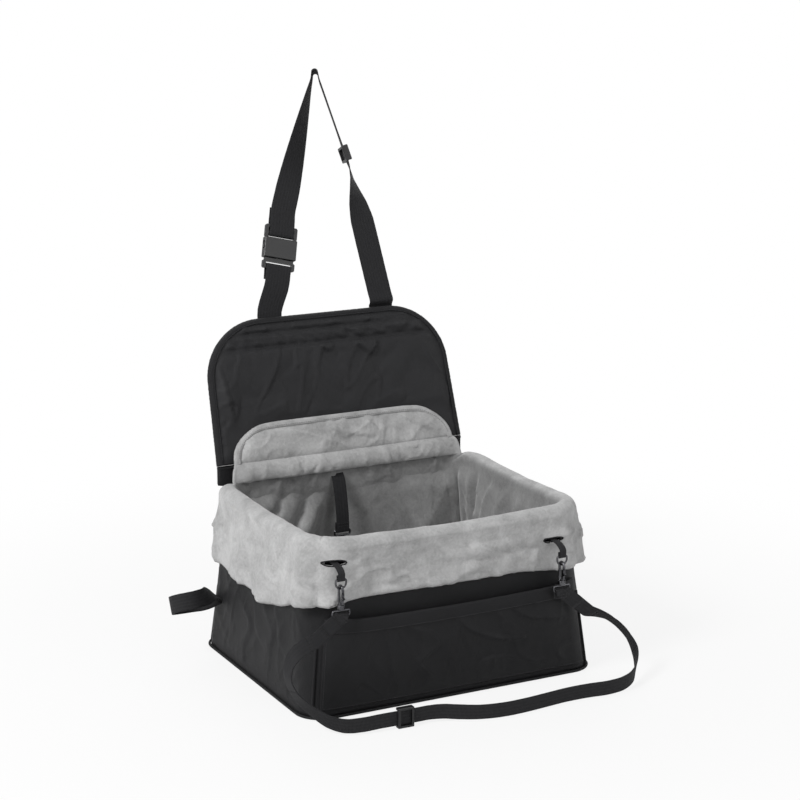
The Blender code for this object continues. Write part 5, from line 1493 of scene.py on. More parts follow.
def backrest_rear_depth(room, height, x):
    """The back cloth lies nearly flat, with a few faint folds."""
    drape = crease(x, height, *REAR_DRAPE)
    return BACKREST_SKIN + 0.0008 * max(drape, 0) * ease((room - 0.014) / 0.02)


rear_panel = cloth_grid(
    "backrest_rear_panel", 90, 60, backrest_place(backrest_rear_depth), BACK_SIZE
)
thicken(rear_panel, BACKREST_CLOTH)
finish_piece(rear_panel, panel_nylon, "backrest_nylon", "backrest", "backrest_rear")


# %% Binding tape round a panel
def outline_point(share, form, foot, inset=0.0):
    """Point and outward direction round a panel, from foot to foot over its top."""
    whole_height, _, _, radius = form
    straight = whole_height - radius
    flat = panel_half_width(whole_height, form)
    lengths = (straight, radius * pi / 2, 2 * flat, radius * pi / 2, straight)
    run = share * sum(lengths)
    side = -1
    if run > lengths[0] + lengths[1] + lengths[2]:
        run = sum(lengths) - run
        side = 1
    if run <= lengths[0]:
        height, angle = run, 0.0
    elif run <= lengths[0] + lengths[1]:
        angle = (run - lengths[0]) / radius
        height = straight + radius * sin(angle)
    else:
        x = run - lengths[0] - lengths[1] - flat
        return Vector((x if side < 0 else -x, 0, whole_height - inset)), Vector((0, 0, 1))
    out = Vector((side * cos(angle), 0, sin(angle)))
    x = side * panel_half_width(height, form)
    z = foot + height * (1 - foot / whole_height)
    return Vector((x, 0, z)) - out * inset, out


# The tape's section, from one flange over the edge to the other: (run, depth).
BINDING_SECTION = (
    *((-1.0, 1.0), (-0.66, 1.02), (-0.33, 1.03), (0.0, 1.0), (0.55, 0.82), (0.9, 0.45), (1.0, 0.0)),
    *((0.9, -0.45), (0.55, -0.82), (0.0, -1.0), (-0.33, -1.02), (-0.66, -1.01), (-1.0, -1.0)),
)
# How far the folded edge bulges past the panel, as a share of half its thickness.
BINDING_BULGE = 0.8
PUCKER = 0.00035


def add_binding(name, form, foot, thickness, flange, cloth, columns, frame_matrix, seed):
    """A tape folded over the edge, a little puckered by its stitching."""
    half = thickness / 2 + GAP + cloth / 2
    bulge = half * BINDING_BULGE
    last = len(BINDING_SECTION) - 1

    def place(u, v):
        point, out = outline_point(v, form, foot)
        run, depth = BINDING_SECTION[round(u * last)]
        edge = point - out * (bulge + cloth / 2)
        pucker = PUCKER * noise.noise(Vector((v * 260, run * 2, seed)))
        reach = bulge * run if run > 0 else flange * run
        side = Vector((0, -1, 0)) * (half * depth + (pucker if depth > 0 else -pucker))
        return frame_matrix @ (edge + out * (reach + pucker) + side)

    tape = cloth_grid(name, last, columns, place, (0.026, 0.80))
    return thicken(tape, cloth)


tape_sizes = (BACKREST_THICKNESS, BINDING_FLANGE, BINDING_CLOTH, 320)
binding = add_binding(
    "backrest_binding_tape", BACKREST_FORM, BACK_FOOT, *tape_sizes, back_frame, 1.0
)
finish_piece(binding, binding_tape, "webbing", "backrest", "backrest_binding")


def binding_seam(form, foot, inset, depth, steps, frame_matrix, low=0.01, high=0.99):
    """A line of points on the front of a binding, a little in from its edge."""
    shares = seam_shares(low, high, steps)
    points = [outline_point(share, form, foot, inset)[0] for share in shares]
    return [frame_matrix @ (point + Vector((0, -depth, 0))) for point in points]


seam_depth = BACKREST_THICKNESS / 2 + GAP + BINDING_CLOTH + 0.0001
SEAM_INSET = 0.0072
seam = binding_seam(BACKREST_FORM, BACK_FOOT, SEAM_INSET, seam_depth, 160, back_frame)
stitch_row("backrest_binding_stitches", seam, back_out, black_thread, "backrest", "webbing")
for index, line in enumerate(STITCH_LINES):
    half = panel_half_width(line, BACKREST_FORM) - 0.016
    row = []
    for step in range(51):
        x = half * (2 * step / 50 - 1)
        y = backrest_front_depth(0.1, line, x) - BACKREST_CLOTH / 2
        row.append(back_frame @ Vector((x, y, line + 0.0022)))
    label = f"backrest_stitches_{index + 1}"
    stitch_row(label, row, back_out, black_thread, "backrest", "backrest_nylon")

# %% [markdown]
# ## The flap and the cloth that joins the two halves
# The lining goes on above the rear rim as a plush web, and ends in a padded flap
# that stands against the backrest. Behind it a strip of nylon carries the fold. The
# web and the strip are sewn to the tub below and to the backrest above.

# %% Flap
FLAP_FORM = (0.056, 0.176, 0.170, 0.048)
FLAP_PADDING = 0.0050
FLAP_PUFF = 0.0022
FLAP_FOOT = 0.004
FLAP_BINDING_CLOTH = 0.0010
FLAP_BINDING_FLANGE = 0.006
FLAP_COLUMNS = 132
FLAP_ROWS = 26
FLAP_SIZE = (0.35, 0.056)
FLAP_FOLDS = (81.0, 0.060, 1.1, 3.0)
FLAP_CREASES = (87.0, 0.034, -0.9, 2.4)
FLAP_GROW, FLAP_PRESSURE, FLAP_CAP = 0.05, 1.5, 0.0030
FLAP_DROP = 0.0040
flap_half = FLAP_PADDING / 2 + GAP + FLAP_BINDING_CLOTH / 2
flap_seat = BACKREST_THICKNESS / 2 + 0.0030 + GAP + flap_half + FLAP_BINDING_CLOTH / 2
flap_frame = back_frame @ Matrix.Translation((0, -flap_seat, FLAP_FOOT))
flap_inset = flap_half * BINDING_BULGE + FLAP_BINDING_CLOTH / 2 + GAP


def flap_close(room, height):
    """From 0 on the flap's edge, where its two faces meet, to 1 just inside it."""
    return sqrt(ease(min(room, height) / 0.004))


def flap_front_depth(room, height, x):
    """The padded front, with soft folds."""
    swell = sin(pi / 2 * min(max((room - 0.007) / 0.014, 0), 1))
    folds = crease(x, height, *FLAP_FOLDS) + 0.6 * crease(x, height, *FLAP_CREASES)
    flat = FLAP_PADDING / 2 * flap_close(room, height)
    return -flat - swell * ease(height / 0.01) * (FLAP_PUFF + 0.0028 * max(folds, -0.6))


def flap_back_depth(room, height, x):
    """The flat back."""
    return FLAP_PADDING / 2 * flap_close(room, height)


to_flap = flap_frame.inverted()


def flap_sag(spot):
    """The padded flap settles a little, and its foot hangs over the seam below it."""
    local = to_flap @ spot
    middle = cos(pi / 2 * min(abs(local.x) / FLAP_FORM[1], 1))
    rise = ease(local.z / FLAP_FORM[0])
    foot = FLAP_DROP * (1 - rise) ** 2 * mix(0.7, 1, middle)
    settle = rise * mix(0.0105, 0.0040, ease(middle * 1.5))
    return spot - Vector((0, 0.0030 * (1 - rise) ** 2, foot + settle))


def let_hang(piece):
    """Lets a finished piece of the flap settle."""
    for vertex in piece.data.vertices:
        vertex.co = flap_sag(vertex.co)


def flap_front_place(u, v):
    """The flap's front, left to right."""
    return panel_point(u, v, FLAP_FORM, flap_inset, 0, flap_front_depth, flap_frame)


def flap_back_place(u, v):
    """The flap's back, right to left, so that it faces the other way."""
    return panel_point(1 - u, v, FLAP_FORM, flap_inset, 0, flap_back_depth, flap_frame)


flap = cloth_grid("plush_flap", FLAP_COLUMNS, FLAP_ROWS, flap_front_place, FLAP_SIZE)
flap_back = cloth_grid("flap_back", FLAP_COLUMNS, FLAP_ROWS, flap_back_place, FLAP_SIZE)
flap_rim = edge_vertices(flap, FLAP_COLUMNS, 2)
let_wrinkle(
    flap, flap_rim, FLAP_GROW, FLAP_PRESSURE, FLAP_CAP, lambda spot: back_out, bending=0.8
)
join_all("plush_flap", [flap, flap_back])
close_sheet(flap)
soften(flap)
let_hang(flap)
flap.data.shade_smooth()
dress(flap, grey_plush)
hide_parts("rear_flap")
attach(flap, "flap")
tape_sizes = (FLAP_PADDING, FLAP_BINDING_FLANGE, FLAP_BINDING_CLOTH, 220)
flap_edge = add_binding("flap_binding_tape", FLAP_FORM, 0, *tape_sizes, flap_frame, 5.0)
let_hang(flap_edge)
finish_piece(flap_edge, grey_plush, "plush", "flap", "flap_binding")
seam = binding_seam(FLAP_FORM, 0, 0.0066, flap_half + 0.0007, 120, flap_frame, 0.02, 0.98)
seam = [flap_sag(spot) for spot in seam]
stitch_row("flap_binding_stitches", seam, back_out, grey_thread, "flap", "plush")


# %% Plush web from the rear lining to the flap
WEB_CLOTH = 0.0030
WEB_SLACK = 0.0030
WEB_FOLDS = (91.0, 0.040, 0.25, 2.8)
WEB_CREASES = (97.0, 0.024, -0.4, 2.2)
# The web's depth and height, row by row: up the rear lining, and out in a roll that
# the flap's foot hangs over.
WEB_ROWS = (
    (0.1560, 0.196),
    (0.1530, 0.209),
    (0.1520, 0.222),
    (0.1525, 0.232),
    (0.1530, 0.2375),
    (0.1465, 0.2385),
    (0.1450, 0.2465),
    (0.1490, 0.2555),
    (0.1550, 0.2605),
    (0.1615, 0.2640),
)
WEB_HALF_WIDTHS = (0.184, 0.184, 0.184, 0.184, 0.184, 0.184, 0.183, 0.181, 0.178, 0.174)
# At its two ends the web stays this far back, and it follows the rim's corners.
WEB_LAP = 0.1530
WEB_CORNER = (0.151, 0.0432)
# Below this height the web faces into the tub and takes painted shade, as the lining does.
WEB_SHADE = 0.240


def along_rows(rows, v):
    """The value at a share of the way through evenly spaced rows, on a smooth curve."""
    place = min(max(v, 0.0), NEARLY_ONE) * (len(rows) - 1)
    index = int(place)
    near = [rows[min(max(index + step, 0), len(rows) - 1)] for step in (-1, 0, 1, 2)]
    t = place - index
    before, start, stop, after = [Vector(row) for row in near]
    bend = (before * 2 - start * 5 + stop * 4 - after) * (t * t / 2)
    return start + (stop - before) * (t / 2) + bend + (start * 3 - before - stop * 3 + after) * (t**3 / 2)


def web_place(u, v):
    """A point of the web: left to right with u, up its rows with v."""
    y, z = along_rows(WEB_ROWS, v)
    half = along_rows([(width, 0) for width in WEB_HALF_WIDTHS], v).x
    x = half * (2 * u - 1)
    folds = crease(x, z, *WEB_FOLDS) + 0.5 * crease(x, z, *WEB_CREASES)
    loose = ease(min(v, 1 - v) / 0.3) * ease(min(u, 1 - u) / 0.06)
    y = mix(max(y, WEB_LAP), y, ease(min(u, 1 - u) / 0.07))
    past = max(abs(x) - WEB_CORNER[0], 0)
    corner = (WEB_CORNER[1] - sqrt(WEB_CORNER[1] ** 2 - past**2)) * (1 - v**2)
    return Vector((x, y - WEB_SLACK * loose * max(folds, -0.3) - corner, z))


web = cloth_grid("plush_web", 132, 54, web_place, (0.34, 0.094))
# Painted shade on the web below WEB_SHADE.
paint_shade_share(web, lambda vertex: ease((WEB_SHADE - vertex.co.z) / 0.006))
thicken(web, WEB_CLOTH)
dress(web, grey_plush)
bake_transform(web)

# %% Nylon strip that carries the fold
TAPE_CLOTH = 0.0012
TAPE_HALF_WIDTH = 0.150
TAPE_FLARE = 0.0470
TAPE_SEWN = 0.030
# The strip's share that is sewn to the wall, and how soon the rest has flared out.
SEWN_SHARE, FLARE_SHARE = 0.45, 0.28


def tape_place(u, v):
    """Flat on the rear wall below, and up to the fold line above."""
    across = 2 * u - 1
    if v < SEWN_SHARE:
        height = BACK_WALL_HEIGHT - TAPE_SEWN * (1 - v / SEWN_SHARE)
        return wall_point("back", -TAPE_HALF_WIDTH * across, height, SOFT_GAP + TAPE_CLOTH / 2)
    rise = (v - SEWN_SHARE) / (1 - SEWN_SHARE)
    x = (TAPE_HALF_WIDTH + TAPE_FLARE * ease(rise / FLARE_SHARE)) * across
    soft = 0.0010 * noise.noise(Vector((x * 30, rise * 2, 9.0))) * sin(pi * rise)
    lean = FOLD_LINE.y + max(soft, 0)
    foot = wall_point(
        "back", -TAPE_HALF_WIDTH * across, BACK_WALL_HEIGHT, SOFT_GAP + TAPE_CLOTH / 2
    )
    y = mix(foot.y, lean, ease(rise / 0.12))
    return Vector((x, y, mix(BACK_WALL_HEIGHT, FOLD_LINE.z, rise)))


tape = cloth_grid("rear_fold_strip", 80, 22, tape_place, (0.38, 0.064))
thicken(tape, TAPE_CLOTH)
dress(tape, panel_nylon)
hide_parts("fold_tape")
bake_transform(tape)
bead_end = Vector((TAPE_HALF_WIDTH + TAPE_FLARE - 0.0004, 0, 0))
bead_line = [FOLD_LINE - bead_end, FOLD_LINE, FOLD_LINE + bead_end]
bead = sweep("fold_bead", bead_line, FOLD_BEAD_RADIUS, 16)
finish_piece(bead, binding_tape, "webbing", "backrest")
seam = [
    wall_point("back", x, BACK_WALL_HEIGHT - 0.024, SOFT_GAP + TAPE_CLOTH)
    for x in seam_shares(-0.145, 0.145, 40)
]
stitch_row("fold_strip_stitches", seam, -FORWARD, black_thread, "tub", "webbing")

# %% [markdown]
# ## Webbing
# Every strap is a ribbon with rounded edges on a smooth curve through a few points,
# with a direction for its width at each. The points are the part's own; where the
# photograph shows a strap turned on edge, its width directions turn with it.


# %% Ribbon on a smooth curve
def smooth_path(points, steps):
    """Points on a smooth curve through every given point, however far apart they are."""
    points = [Vector(point) for point in points]
    ends = [points[0] * 2 - points[1], *points, points[-1] * 2 - points[-2]]
    path = []
    for before, start, stop, after in zip(ends, ends[1:], ends[2:], ends[3:]):
        back, here, ahead = (start - before).length, (stop - start).length, (after - stop).length
        way = (stop - start) / here
        leave = ((start - before) / back * here + way * back) / (back + here) * here
        arrive = (way * ahead + (after - stop) / ahead * here) / (here + ahead) * here
        for step in range(steps):
            t = step / steps
            hold = start * (1 + 2 * t) * (1 - t) ** 2 + stop * t * t * (3 - 2 * t)
            path.append(hold + leave * t * (1 - t) ** 2 - arrive * t * t * (1 - t))
    path.append(points[-1])
    return path


def spread(widths, steps):
    """The width directions at every point of the smoothed path."""
    widths = [Vector(width) for width in widths]
    fine = [a.lerp(b, step / steps) for a, b in zip(widths, widths[1:]) for step in range(steps)]
    return [*fine, widths[-1]]


def square_widths(path, widths):
    """The width directions, each made square to the path at its point."""
    squared = []
    for index, width in enumerate(widths):
        tangent = path[min(index + 1, len(path) - 1)] - path[max(index - 1, 0)]
        tangent.normalize()
        squared.append((width - tangent * width.dot(tangent)).normalized())
    return squared


RIBBON_SECTION = [(-1.0, 0.55), (-0.985, 0.9), (-0.93, 1.0), (-0.45, 1.0), (0.0, 1.0), (0.45, 1.0)]
RIBBON_SECTION += [(0.93, 1.0), (0.985, 0.9), (1.0, 0.55)]
RIBBON_SECTION += [(side, -face) for side, face in reversed(RIBBON_SECTION)]


def ribbon(name, path, across, width, cloth, body=None, seed=0.0):
    """Webbing along a path, with across as the direction of its width at each point."""
    count = len(RIBBON_SECTION)
    total = sum((b - a).length for a, b in zip(path, path[1:]))
    runs = [0.0]
    for start, end in zip(path, path[1:]):
        runs.append(runs[-1] + (end - start).length)

    def place(u, v):
        index = round(v * (len(path) - 1))
        side, face = RIBBON_SECTION[round(u * count) % count]
        ahead = path[min(index + 1, len(path) - 1)] - path[max(index - 1, 0)]
        up = ahead.cross(across[index]).normalized()
        frayed = 1 + 0.012 * noise.noise(Vector((runs[index] * 140, side, seed)))
        return path[index] + across[index] * (side * frayed * width / 2) + up * (face * cloth / 2)

    strap = cloth_grid(name, count, len(path) - 1, place, (2 * width, total))
    uv = strap.data.uv_layers.active.data
    for loop in strap.data.loops:
        row = round(uv[loop.index].uv.y / total * (len(path) - 1))
        uv[loop.index].uv.y = runs[row]
    close_sheet(strap)
    strap.data.shade_smooth()
    dress(strap, black_webbing)
    if body:
        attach(strap, body)
    return strap


WEBBING_STITCH = 0.0030


def box_stitch(name, centre, run, across, length, width, body):
    """Two sewn lines across a strap's end, on the side that run x across faces."""
    run, across = run.normalized(), across.normalized()
    up = run.cross(across)
    for row in (0, 1):
        middle = centre + run * (length * (row - 0.5))
        line = [middle - across * width / 2, middle + across * width / 2]
        stitch_row(f"{name}_{row + 1}", line, up, black_thread, body, "webbing", WEBBING_STITCH)


# %% [markdown]
# ### Headrest strap
# It comes up from the female half of the buckle, over the top of the loop, where it
# turns on edge, and down to the backrest's right. Its left end is the short tail,
# folded round the male half's bar.

# %% Headrest strap and tail
WIDE, WIDE_CLOTH = 0.038, 0.0016
BUCKLE_BAR = 0.0045
BUCKLE_SLOT = 0.0050
BAR_DEPTH = 0.0055
HOUSING_RISE, HOUSING_HEIGHT = 0.006, 0.030
BUCKLE_TILT = radians(14)
BUCKLE_AT = (-0.0605, 0, 0.277)
# How far the folded end lies back along the strap above the buckle.
OVERLAP = 0.026
WRAP_SHARES = ((-1.0, 0.0), (-0.9, 0.6), (-0.6, 1.0), (0.6, 1.0), (0.9, 0.6), (1.0, 0.0))
STRAP_TWIST = radians(64)
SLIDER_TWIST = radians(72)
APEX = Vector((0.044, 0, 0.572))
APEX_RADIUS = 0.0042
APEX_DROP = 0.0080
KNEE = Vector((0.0775, 0, 0.418))
RIGHT_FOOT_X = 0.0995
TAIL_FOOT_X = -0.081
# Where the strap's foot crosses the binding and is sewn to the backrest's rear.
FOOT_DROPS = (-BINDING_CLOTH * 2, 0.015, 0.030)
SMOOTH_STEPS = 6
buckle_place = Matrix.Translation(BUCKLE_AT) @ Matrix.Rotation(BUCKLE_TILT, 4, "Y")
seat = BAR_DEPTH / 2 + GAP + WIDE_CLOTH / 2
rear_seat = BACKREST_THICKNESS / 2 + GAP + BINDING_CLOTH + GAP + WIDE_CLOTH / 2
tilted = buckle_place.to_3x3() @ Vector((1, 0, 0))
housing_foot = BUCKLE_BAR / 2 + BUCKLE_SLOT + HOUSING_RISE + GAP
middle_bar = housing_foot + HOUSING_HEIGHT + BUCKLE_SLOT + BUCKLE_BAR / 2
buckle_end = middle_bar + BUCKLE_BAR / 2 + BUCKLE_SLOT + BUCKLE_BAR


def bar_wrap(edge, side):
    """Webbing round a bar: (depth, height) past its edge at side 1 or -1."""
    rise = side * (WIDE_CLOTH + GAP)
    return [(seat * depth, edge + rise * up) for depth, up in WRAP_SHARES]


def in_buckle(rows):
    """Rows of (depth, height) in the buckle's own frame, set in the backrest's."""
    return [buckle_place @ Vector((0, depth, height)) for depth, height in rows]


def leg(start, end, shares):
    """Points at these shares of a straight leg."""
    return [start.lerp(end, share) for share in shares]


def place_strap(name, path, across, seed):
    """A strap in the backrest's frame, smoothed and set in the row frame."""
    smooth = smooth_path(path, SMOOTH_STEPS)
    widths = square_widths(smooth, spread(across, SMOOTH_STEPS))
    turned = back_frame.to_3x3()
    placed = [back_frame @ point for point in smooth]
    return ribbon(name, placed, [turned @ way for way in widths], WIDE, WIDE_CLOTH, None, seed)


turned = [(seat, buckle_end + OVERLAP), (seat, buckle_end)]
turned += reversed(bar_wrap(middle_bar - BUCKLE_BAR / 2, -1))
turned += [(-seat, buckle_end), (-seat * 0.6, buckle_end + OVERLAP)]
path = in_buckle(turned)
turns = [None] * len(path)
left_start = path[-1]
left_way = (left_start - APEX).normalized()
right_way = (KNEE - APEX).normalized()
middle_way = (left_way + right_way).normalized()
aside = Vector((sin(STRAP_TWIST), -cos(STRAP_TWIST), 0))
aside = (aside - middle_way * aside.dot(middle_way)).normalized()
centre = APEX + middle_way * (APEX_RADIUS + APEX_DROP)
left_top = centre - aside * APEX_RADIUS + middle_way * APEX_RADIUS
right_top = centre + aside * APEX_RADIUS + middle_way * APEX_RADIUS
shares = (0.06, 0.15, 0.30, 0.45, 0.60, 0.75, 0.88, 0.96)
path += leg(left_start, left_top, shares)
turns += [STRAP_TWIST * min(max((share - 0.12) / 0.84, 0), 1) for share in shares]
for step in range(11):
    angle = pi / 2 * (step / 5 - 1)
    path.append(centre + (aside * sin(angle) - middle_way * cos(angle)) * APEX_RADIUS)
    turns.append(STRAP_TWIST)
slider = 0.87
for share in (0.04, 0.12, 0.35, 0.60, 0.78, slider, 0.95):
    path.append(right_top.lerp(KNEE, share))
    turns.append(mix(STRAP_TWIST, SLIDER_TWIST, bump(share, slider, 0.06)))
path.append(KNEE)
turns.append(STRAP_TWIST)
right_foot = Vector((RIGHT_FOOT_X, 0, BACKREST_HEIGHT))
shares = (0.08, 0.16, 0.26, 0.38, 0.50, 0.64, 0.78, 0.90, 0.96)
path += leg(KNEE, right_foot, shares)
turns += [STRAP_TWIST * (1 - ease(share / 0.42)) for share in shares]
for drop in FOOT_DROPS:
    path.append(Vector((RIGHT_FOOT_X, rear_seat, BACKREST_HEIGHT - drop)))
    turns.append(0)
across = [tilted if turn is None else Vector((cos(turn), sin(turn), 0)) for turn in turns]
headrest = place_strap("headrest_webbing", path, across, 1.0)
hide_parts("headrest_strap")
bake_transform(headrest)

sewn = [
    Vector((TAIL_FOOT_X, rear_seat, BACKREST_HEIGHT - drop)) for drop in reversed(FOOT_DROPS)
]
turned = [(-seat * 0.8, -0.0216), (-seat, -0.0108)]
turned += bar_wrap(BUCKLE_BAR / 2, 1)
turned += [(seat, -0.0108), (seat * 0.9, -0.018)]
path = sewn + in_buckle(turned)
across = [Vector((1, 0, 0))] * len(sewn) + [tilted] * len(turned)
tail = place_strap("headrest_tail", path, across, 2.0)
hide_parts("strap_tail")
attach(tail, "backrest")

# %% [markdown]
# ### Hooks, rings and the straps on them
# Two short tabs come out through the cuff's slits and carry a D-ring each. A swivel
# snap hook hangs in each ring, and the front strap is sewn round both hooks' eyes.
# The same hook, upside down, ends the tether inside.

# %% Sizes of the hook and the places it hangs
NARROW, NARROW_CLOTH = 0.020, 0.0015
TAB_WIDTH, TAB_CLOTH = 0.010, 0.0010
RING_WIRE, RING_HALF, RING_DROP = 0.0013, 0.0075, 0.0120
HOOK_WIRE, CROWN_RADIUS, NOSE_LENGTH = 0.0019, 0.0056, 0.0040
COLLAR_RADIUS, COLLAR_HEIGHT = 0.0050, 0.0060
EYE_WIRE, EYE_HALF, EYE_DROP, EYE_LOOP = 0.0014, 0.0122, 0.0070, 0.012
CROWN = RING_WIRE + GAP + HOOK_WIRE - CROWN_RADIUS
COLLAR_TOP = CROWN - 0.0200
EYE_TOP = COLLAR_TOP - COLLAR_HEIGHT - GAP - EYE_WIRE
EYE_FOOT = EYE_TOP - EYE_DROP
HOOK_STAND_OFF = 0.0345
TAB_HANG = 0.017
# How high the webbing stays straight on both sides of an eye.
LOOP_RISES = (0.004, 0.008, EYE_LOOP)
ACROSS = Vector((1, 0, 0))


def hook_place(side):
    """Where a front hook hangs."""
    x, height = HOOK_PLACES[side]
    wall = wall_point("front", x, height, 0)
    return Vector((x, wall.y - HOOK_STAND_OFF, height - TAB_HANG - RING_DROP))


def half_turn(x, y, z, wrap, way, rise):
    """Points half way round a bar, starting on the side that way gives."""
    turns = [pi * step / 8 for step in range(9)]
    return [Vector((x, y + way * wrap * cos(turn), z + rise * wrap * sin(turn))) for turn in turns]


# %% Tether
TETHER_LENGTH = 0.082
TETHER_X = -0.018
# The solids' rear roll is rounder than the plush here, and the tether keeps to theirs.
SOLID_ROLL_RADIUS = 0.0066
# The way down, as shares of the way forward and of the drop.
TETHER_SHARES = ((0.28, 0.00), (0.46, 0.01), (0.60, 0.07), (0.72, 0.20), (0.84, 0.42), (0.96, 0.70))
behind = FOLD_LINE.y - TAPE_CLOTH / 2 - GAP - NARROW_CLOTH / 2
above_roll = SOLID_ROLL_RADIUS + LINING_CLOTH / 2 + GAP + NARROW_CLOTH / 2
tether_start = Vector((TETHER_X, behind, BACK_WALL_HEIGHT + above_roll))
tether_bar = Vector((TETHER_X, FOLD_LINE.y - 0.036, tether_start.z - TETHER_LENGTH))
wrap = EYE_WIRE + GAP + NARROW_CLOTH / 2
path = [tether_start]
for run, drop in TETHER_SHARES:
    y = mix(tether_start.y, tether_bar.y - wrap, run)
    path.append(Vector((TETHER_X, y, tether_start.z - TETHER_LENGTH * drop)))
path = smooth_path(path, SMOOTH_STEPS)
path.append(tether_bar + Vector((0, -wrap, LOOP_RISES[0])))
path += half_turn(*tether_bar, wrap, -1, -1)
path += [tether_bar + Vector((0, wrap, rise)) for rise in LOOP_RISES]
across = [ACROSS] * len(path)
tether = ribbon("tether_strap", path, across, NARROW, NARROW_CLOTH, "tether", 3.0)
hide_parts("tether_webbing")
spot = tether_bar + Vector((0, -wrap - NARROW_CLOTH / 2, 0.009))
box_stitch("tether_stitches", spot, Vector((0, 0, 1)), Vector((-1, 0, 0)), 0.004, 0.016, "tether")

# %% Ring tabs
TAB_RISES, TAB_STEP = (2.0, 1.0, 0.4), 0.0065
# The way out to the ring, as shares of the way forward and of the drop.
TAB_ROUTE = ((0.45, 0.0), (0.80, 0.17), (1.0, 0.5), (1.0, 0.9))
TAB_STEPS = 5
for side, (x, slit_height) in HOOK_PLACES.items():
    place = hook_place(side)
    wrap = RING_WIRE + GAP + TAB_CLOTH / 2
    bar = place.z + RING_DROP
    path, across = [], []
    for rise in TAB_RISES:
        height = slit_height + TAB_STEP * rise
        ends = [
            wall_point("front", x + half, height, SOFT_GAP + TAB_CLOTH / 2)
            for half in (-TAB_WIDTH / 2, TAB_WIDTH / 2)
        ]
        path.append((ends[0] + ends[1]) / 2)
        across.append((ends[1] - ends[0]).normalized())
    front = path[-1].y
    for run, drop in TAB_ROUTE:
        height = mix(slit_height, bar, drop)
        path.append(Vector((x, mix(front, place.y - wrap, run), height)))
    path = smooth_path(path, TAB_STEPS)
    across = spread(across + [ACROSS] * len(TAB_ROUTE), TAB_STEPS)
    turned = half_turn(x, place.y, bar, wrap, -1, -1)
    turned.append(Vector((x, place.y + wrap, (slit_height + bar * 2) / 3)))
    path += turned
    across = square_widths(path, across + [ACROSS] * len(turned))
    tab = ribbon(f"ring_tab_strap_{side}", path, across, TAB_WIDTH, TAB_CLOTH, "tub", 4.0)
    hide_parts(f"ring_tab_{side}")

# %% [markdown]
# ### The loose front strap
# The strap runs from the left hook out past the corner, down to the floor, along
# the front and up to the right hook. The long middle is a free cord. Each end is
# cut in four between its eye, its hook, its ring and the middle; only the piece
# round the eye rides on it.

# %% Front strap's route
# Each row is a point of the strap and the way its width lies there.
FRONT_STRAP_ROUTE = (
    ((-0.216, -0.196, 0.118), (0.8, -0.1, -0.6)),
    ((-0.233, -0.197, 0.113), (0.6, -0.45, -0.66)),
    ((-0.247, -0.198, 0.105), (0.35, -0.8, -0.48)),
    ((-0.256, -0.199, 0.092), (0.15, -0.98, -0.12)),
    ((-0.258, -0.2, 0.076), (0.05, -0.99, 0.1)),
    ((-0.252, -0.202, 0.058), (0, -0.92, 0.38)),
    ((-0.24, -0.206, 0.041), (-0.05, -0.76, 0.64)),
    ((-0.226, -0.213, 0.027), (-0.08, -0.52, 0.85)),
    ((-0.212, -0.224, 0.017), (-0.06, -0.26, 0.96)),
    ((-0.195, -0.236, 0.0122), (-0.02, -0.08, 1)),
    ((-0.174, -0.244, 0.0128), (0, 0, 1)),
    ((-0.15, -0.247, 0.0142), (0, 0, 1)),
    ((-0.132, -0.2475, 0.0142), (0, 0, 1)),
    ((-0.114, -0.248, 0.0142), (0, 0, 1)),
    ((-0.096, -0.2485, 0.0142), (0, 0, 1)),
    ((-0.078, -0.249, 0.0142), (0, 0, 1)),
    ((-0.06, -0.252, 0.0134), (0, 0.06, 1)),
    ((-0.04, -0.26, 0.0118), (0, 0.1, 1)),
    ((-0.016, -0.27, 0.0108), (0, 0, 1)),
    ((0.015, -0.277, 0.0108), (0, 0, 1)),
    ((0.05, -0.277, 0.0108), (0, 0, 1)),
    ((0.085, -0.2735, 0.0108), (0, 0, 1)),
    ((0.12, -0.27, 0.0108), (0, 0, 1)),
    ((0.152, -0.271, 0.011), (0, 0, 1)),
    ((0.182, -0.274, 0.011), (0, 0, 1)),
    ((0.21, -0.269, 0.0112), (0, 0, 1)),
    ((0.233, -0.256, 0.014), (-0.1, -0.15, 0.98)),
    ((0.248, -0.24, 0.023), (-0.1, -0.5, 0.86)),
    ((0.255, -0.225, 0.037), (-0.05, -0.72, 0.69)),
    ((0.253, -0.212, 0.052), (-0.2, -0.82, 0.52)),
    ((0.244, -0.203, 0.066), (-0.05, -0.92, 0.38)),
    ((0.23, -0.199, 0.078), (0.08, -0.94, 0.34)),
    ((0.213, -0.198, 0.087), (0.28, -0.78, 0.55)),
    ((0.195, -0.198, 0.094), (0.52, -0.48, 0.7)),
)
END_ROWS = 5
STEPS = 8
places = smooth_path([row[0] for row in FRONT_STRAP_ROUTE], STEPS)
widths = square_widths(places, spread([row[1] for row in FRONT_STRAP_ROUTE], STEPS))
end = END_ROWS * STEPS
middle = places[end:-end]
middle[0] = middle[0] + (middle[1] - middle[0]).normalized() * GAP
middle[-1] = middle[-1] + (middle[-2] - middle[-1]).normalized() * GAP
strap_length = sum((b - a).length for a, b in zip(middle, middle[1:]))
front_strap = ribbon("front_strap_webbing", middle, widths[end:-end], NARROW, NARROW_CLOTH, "tub", 6.0)
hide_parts("front_strap")
tuple(middle[0])
[tuple(point) for point in middle]
print(f"front strap: {strap_length:.3f} m between its sewn ends")

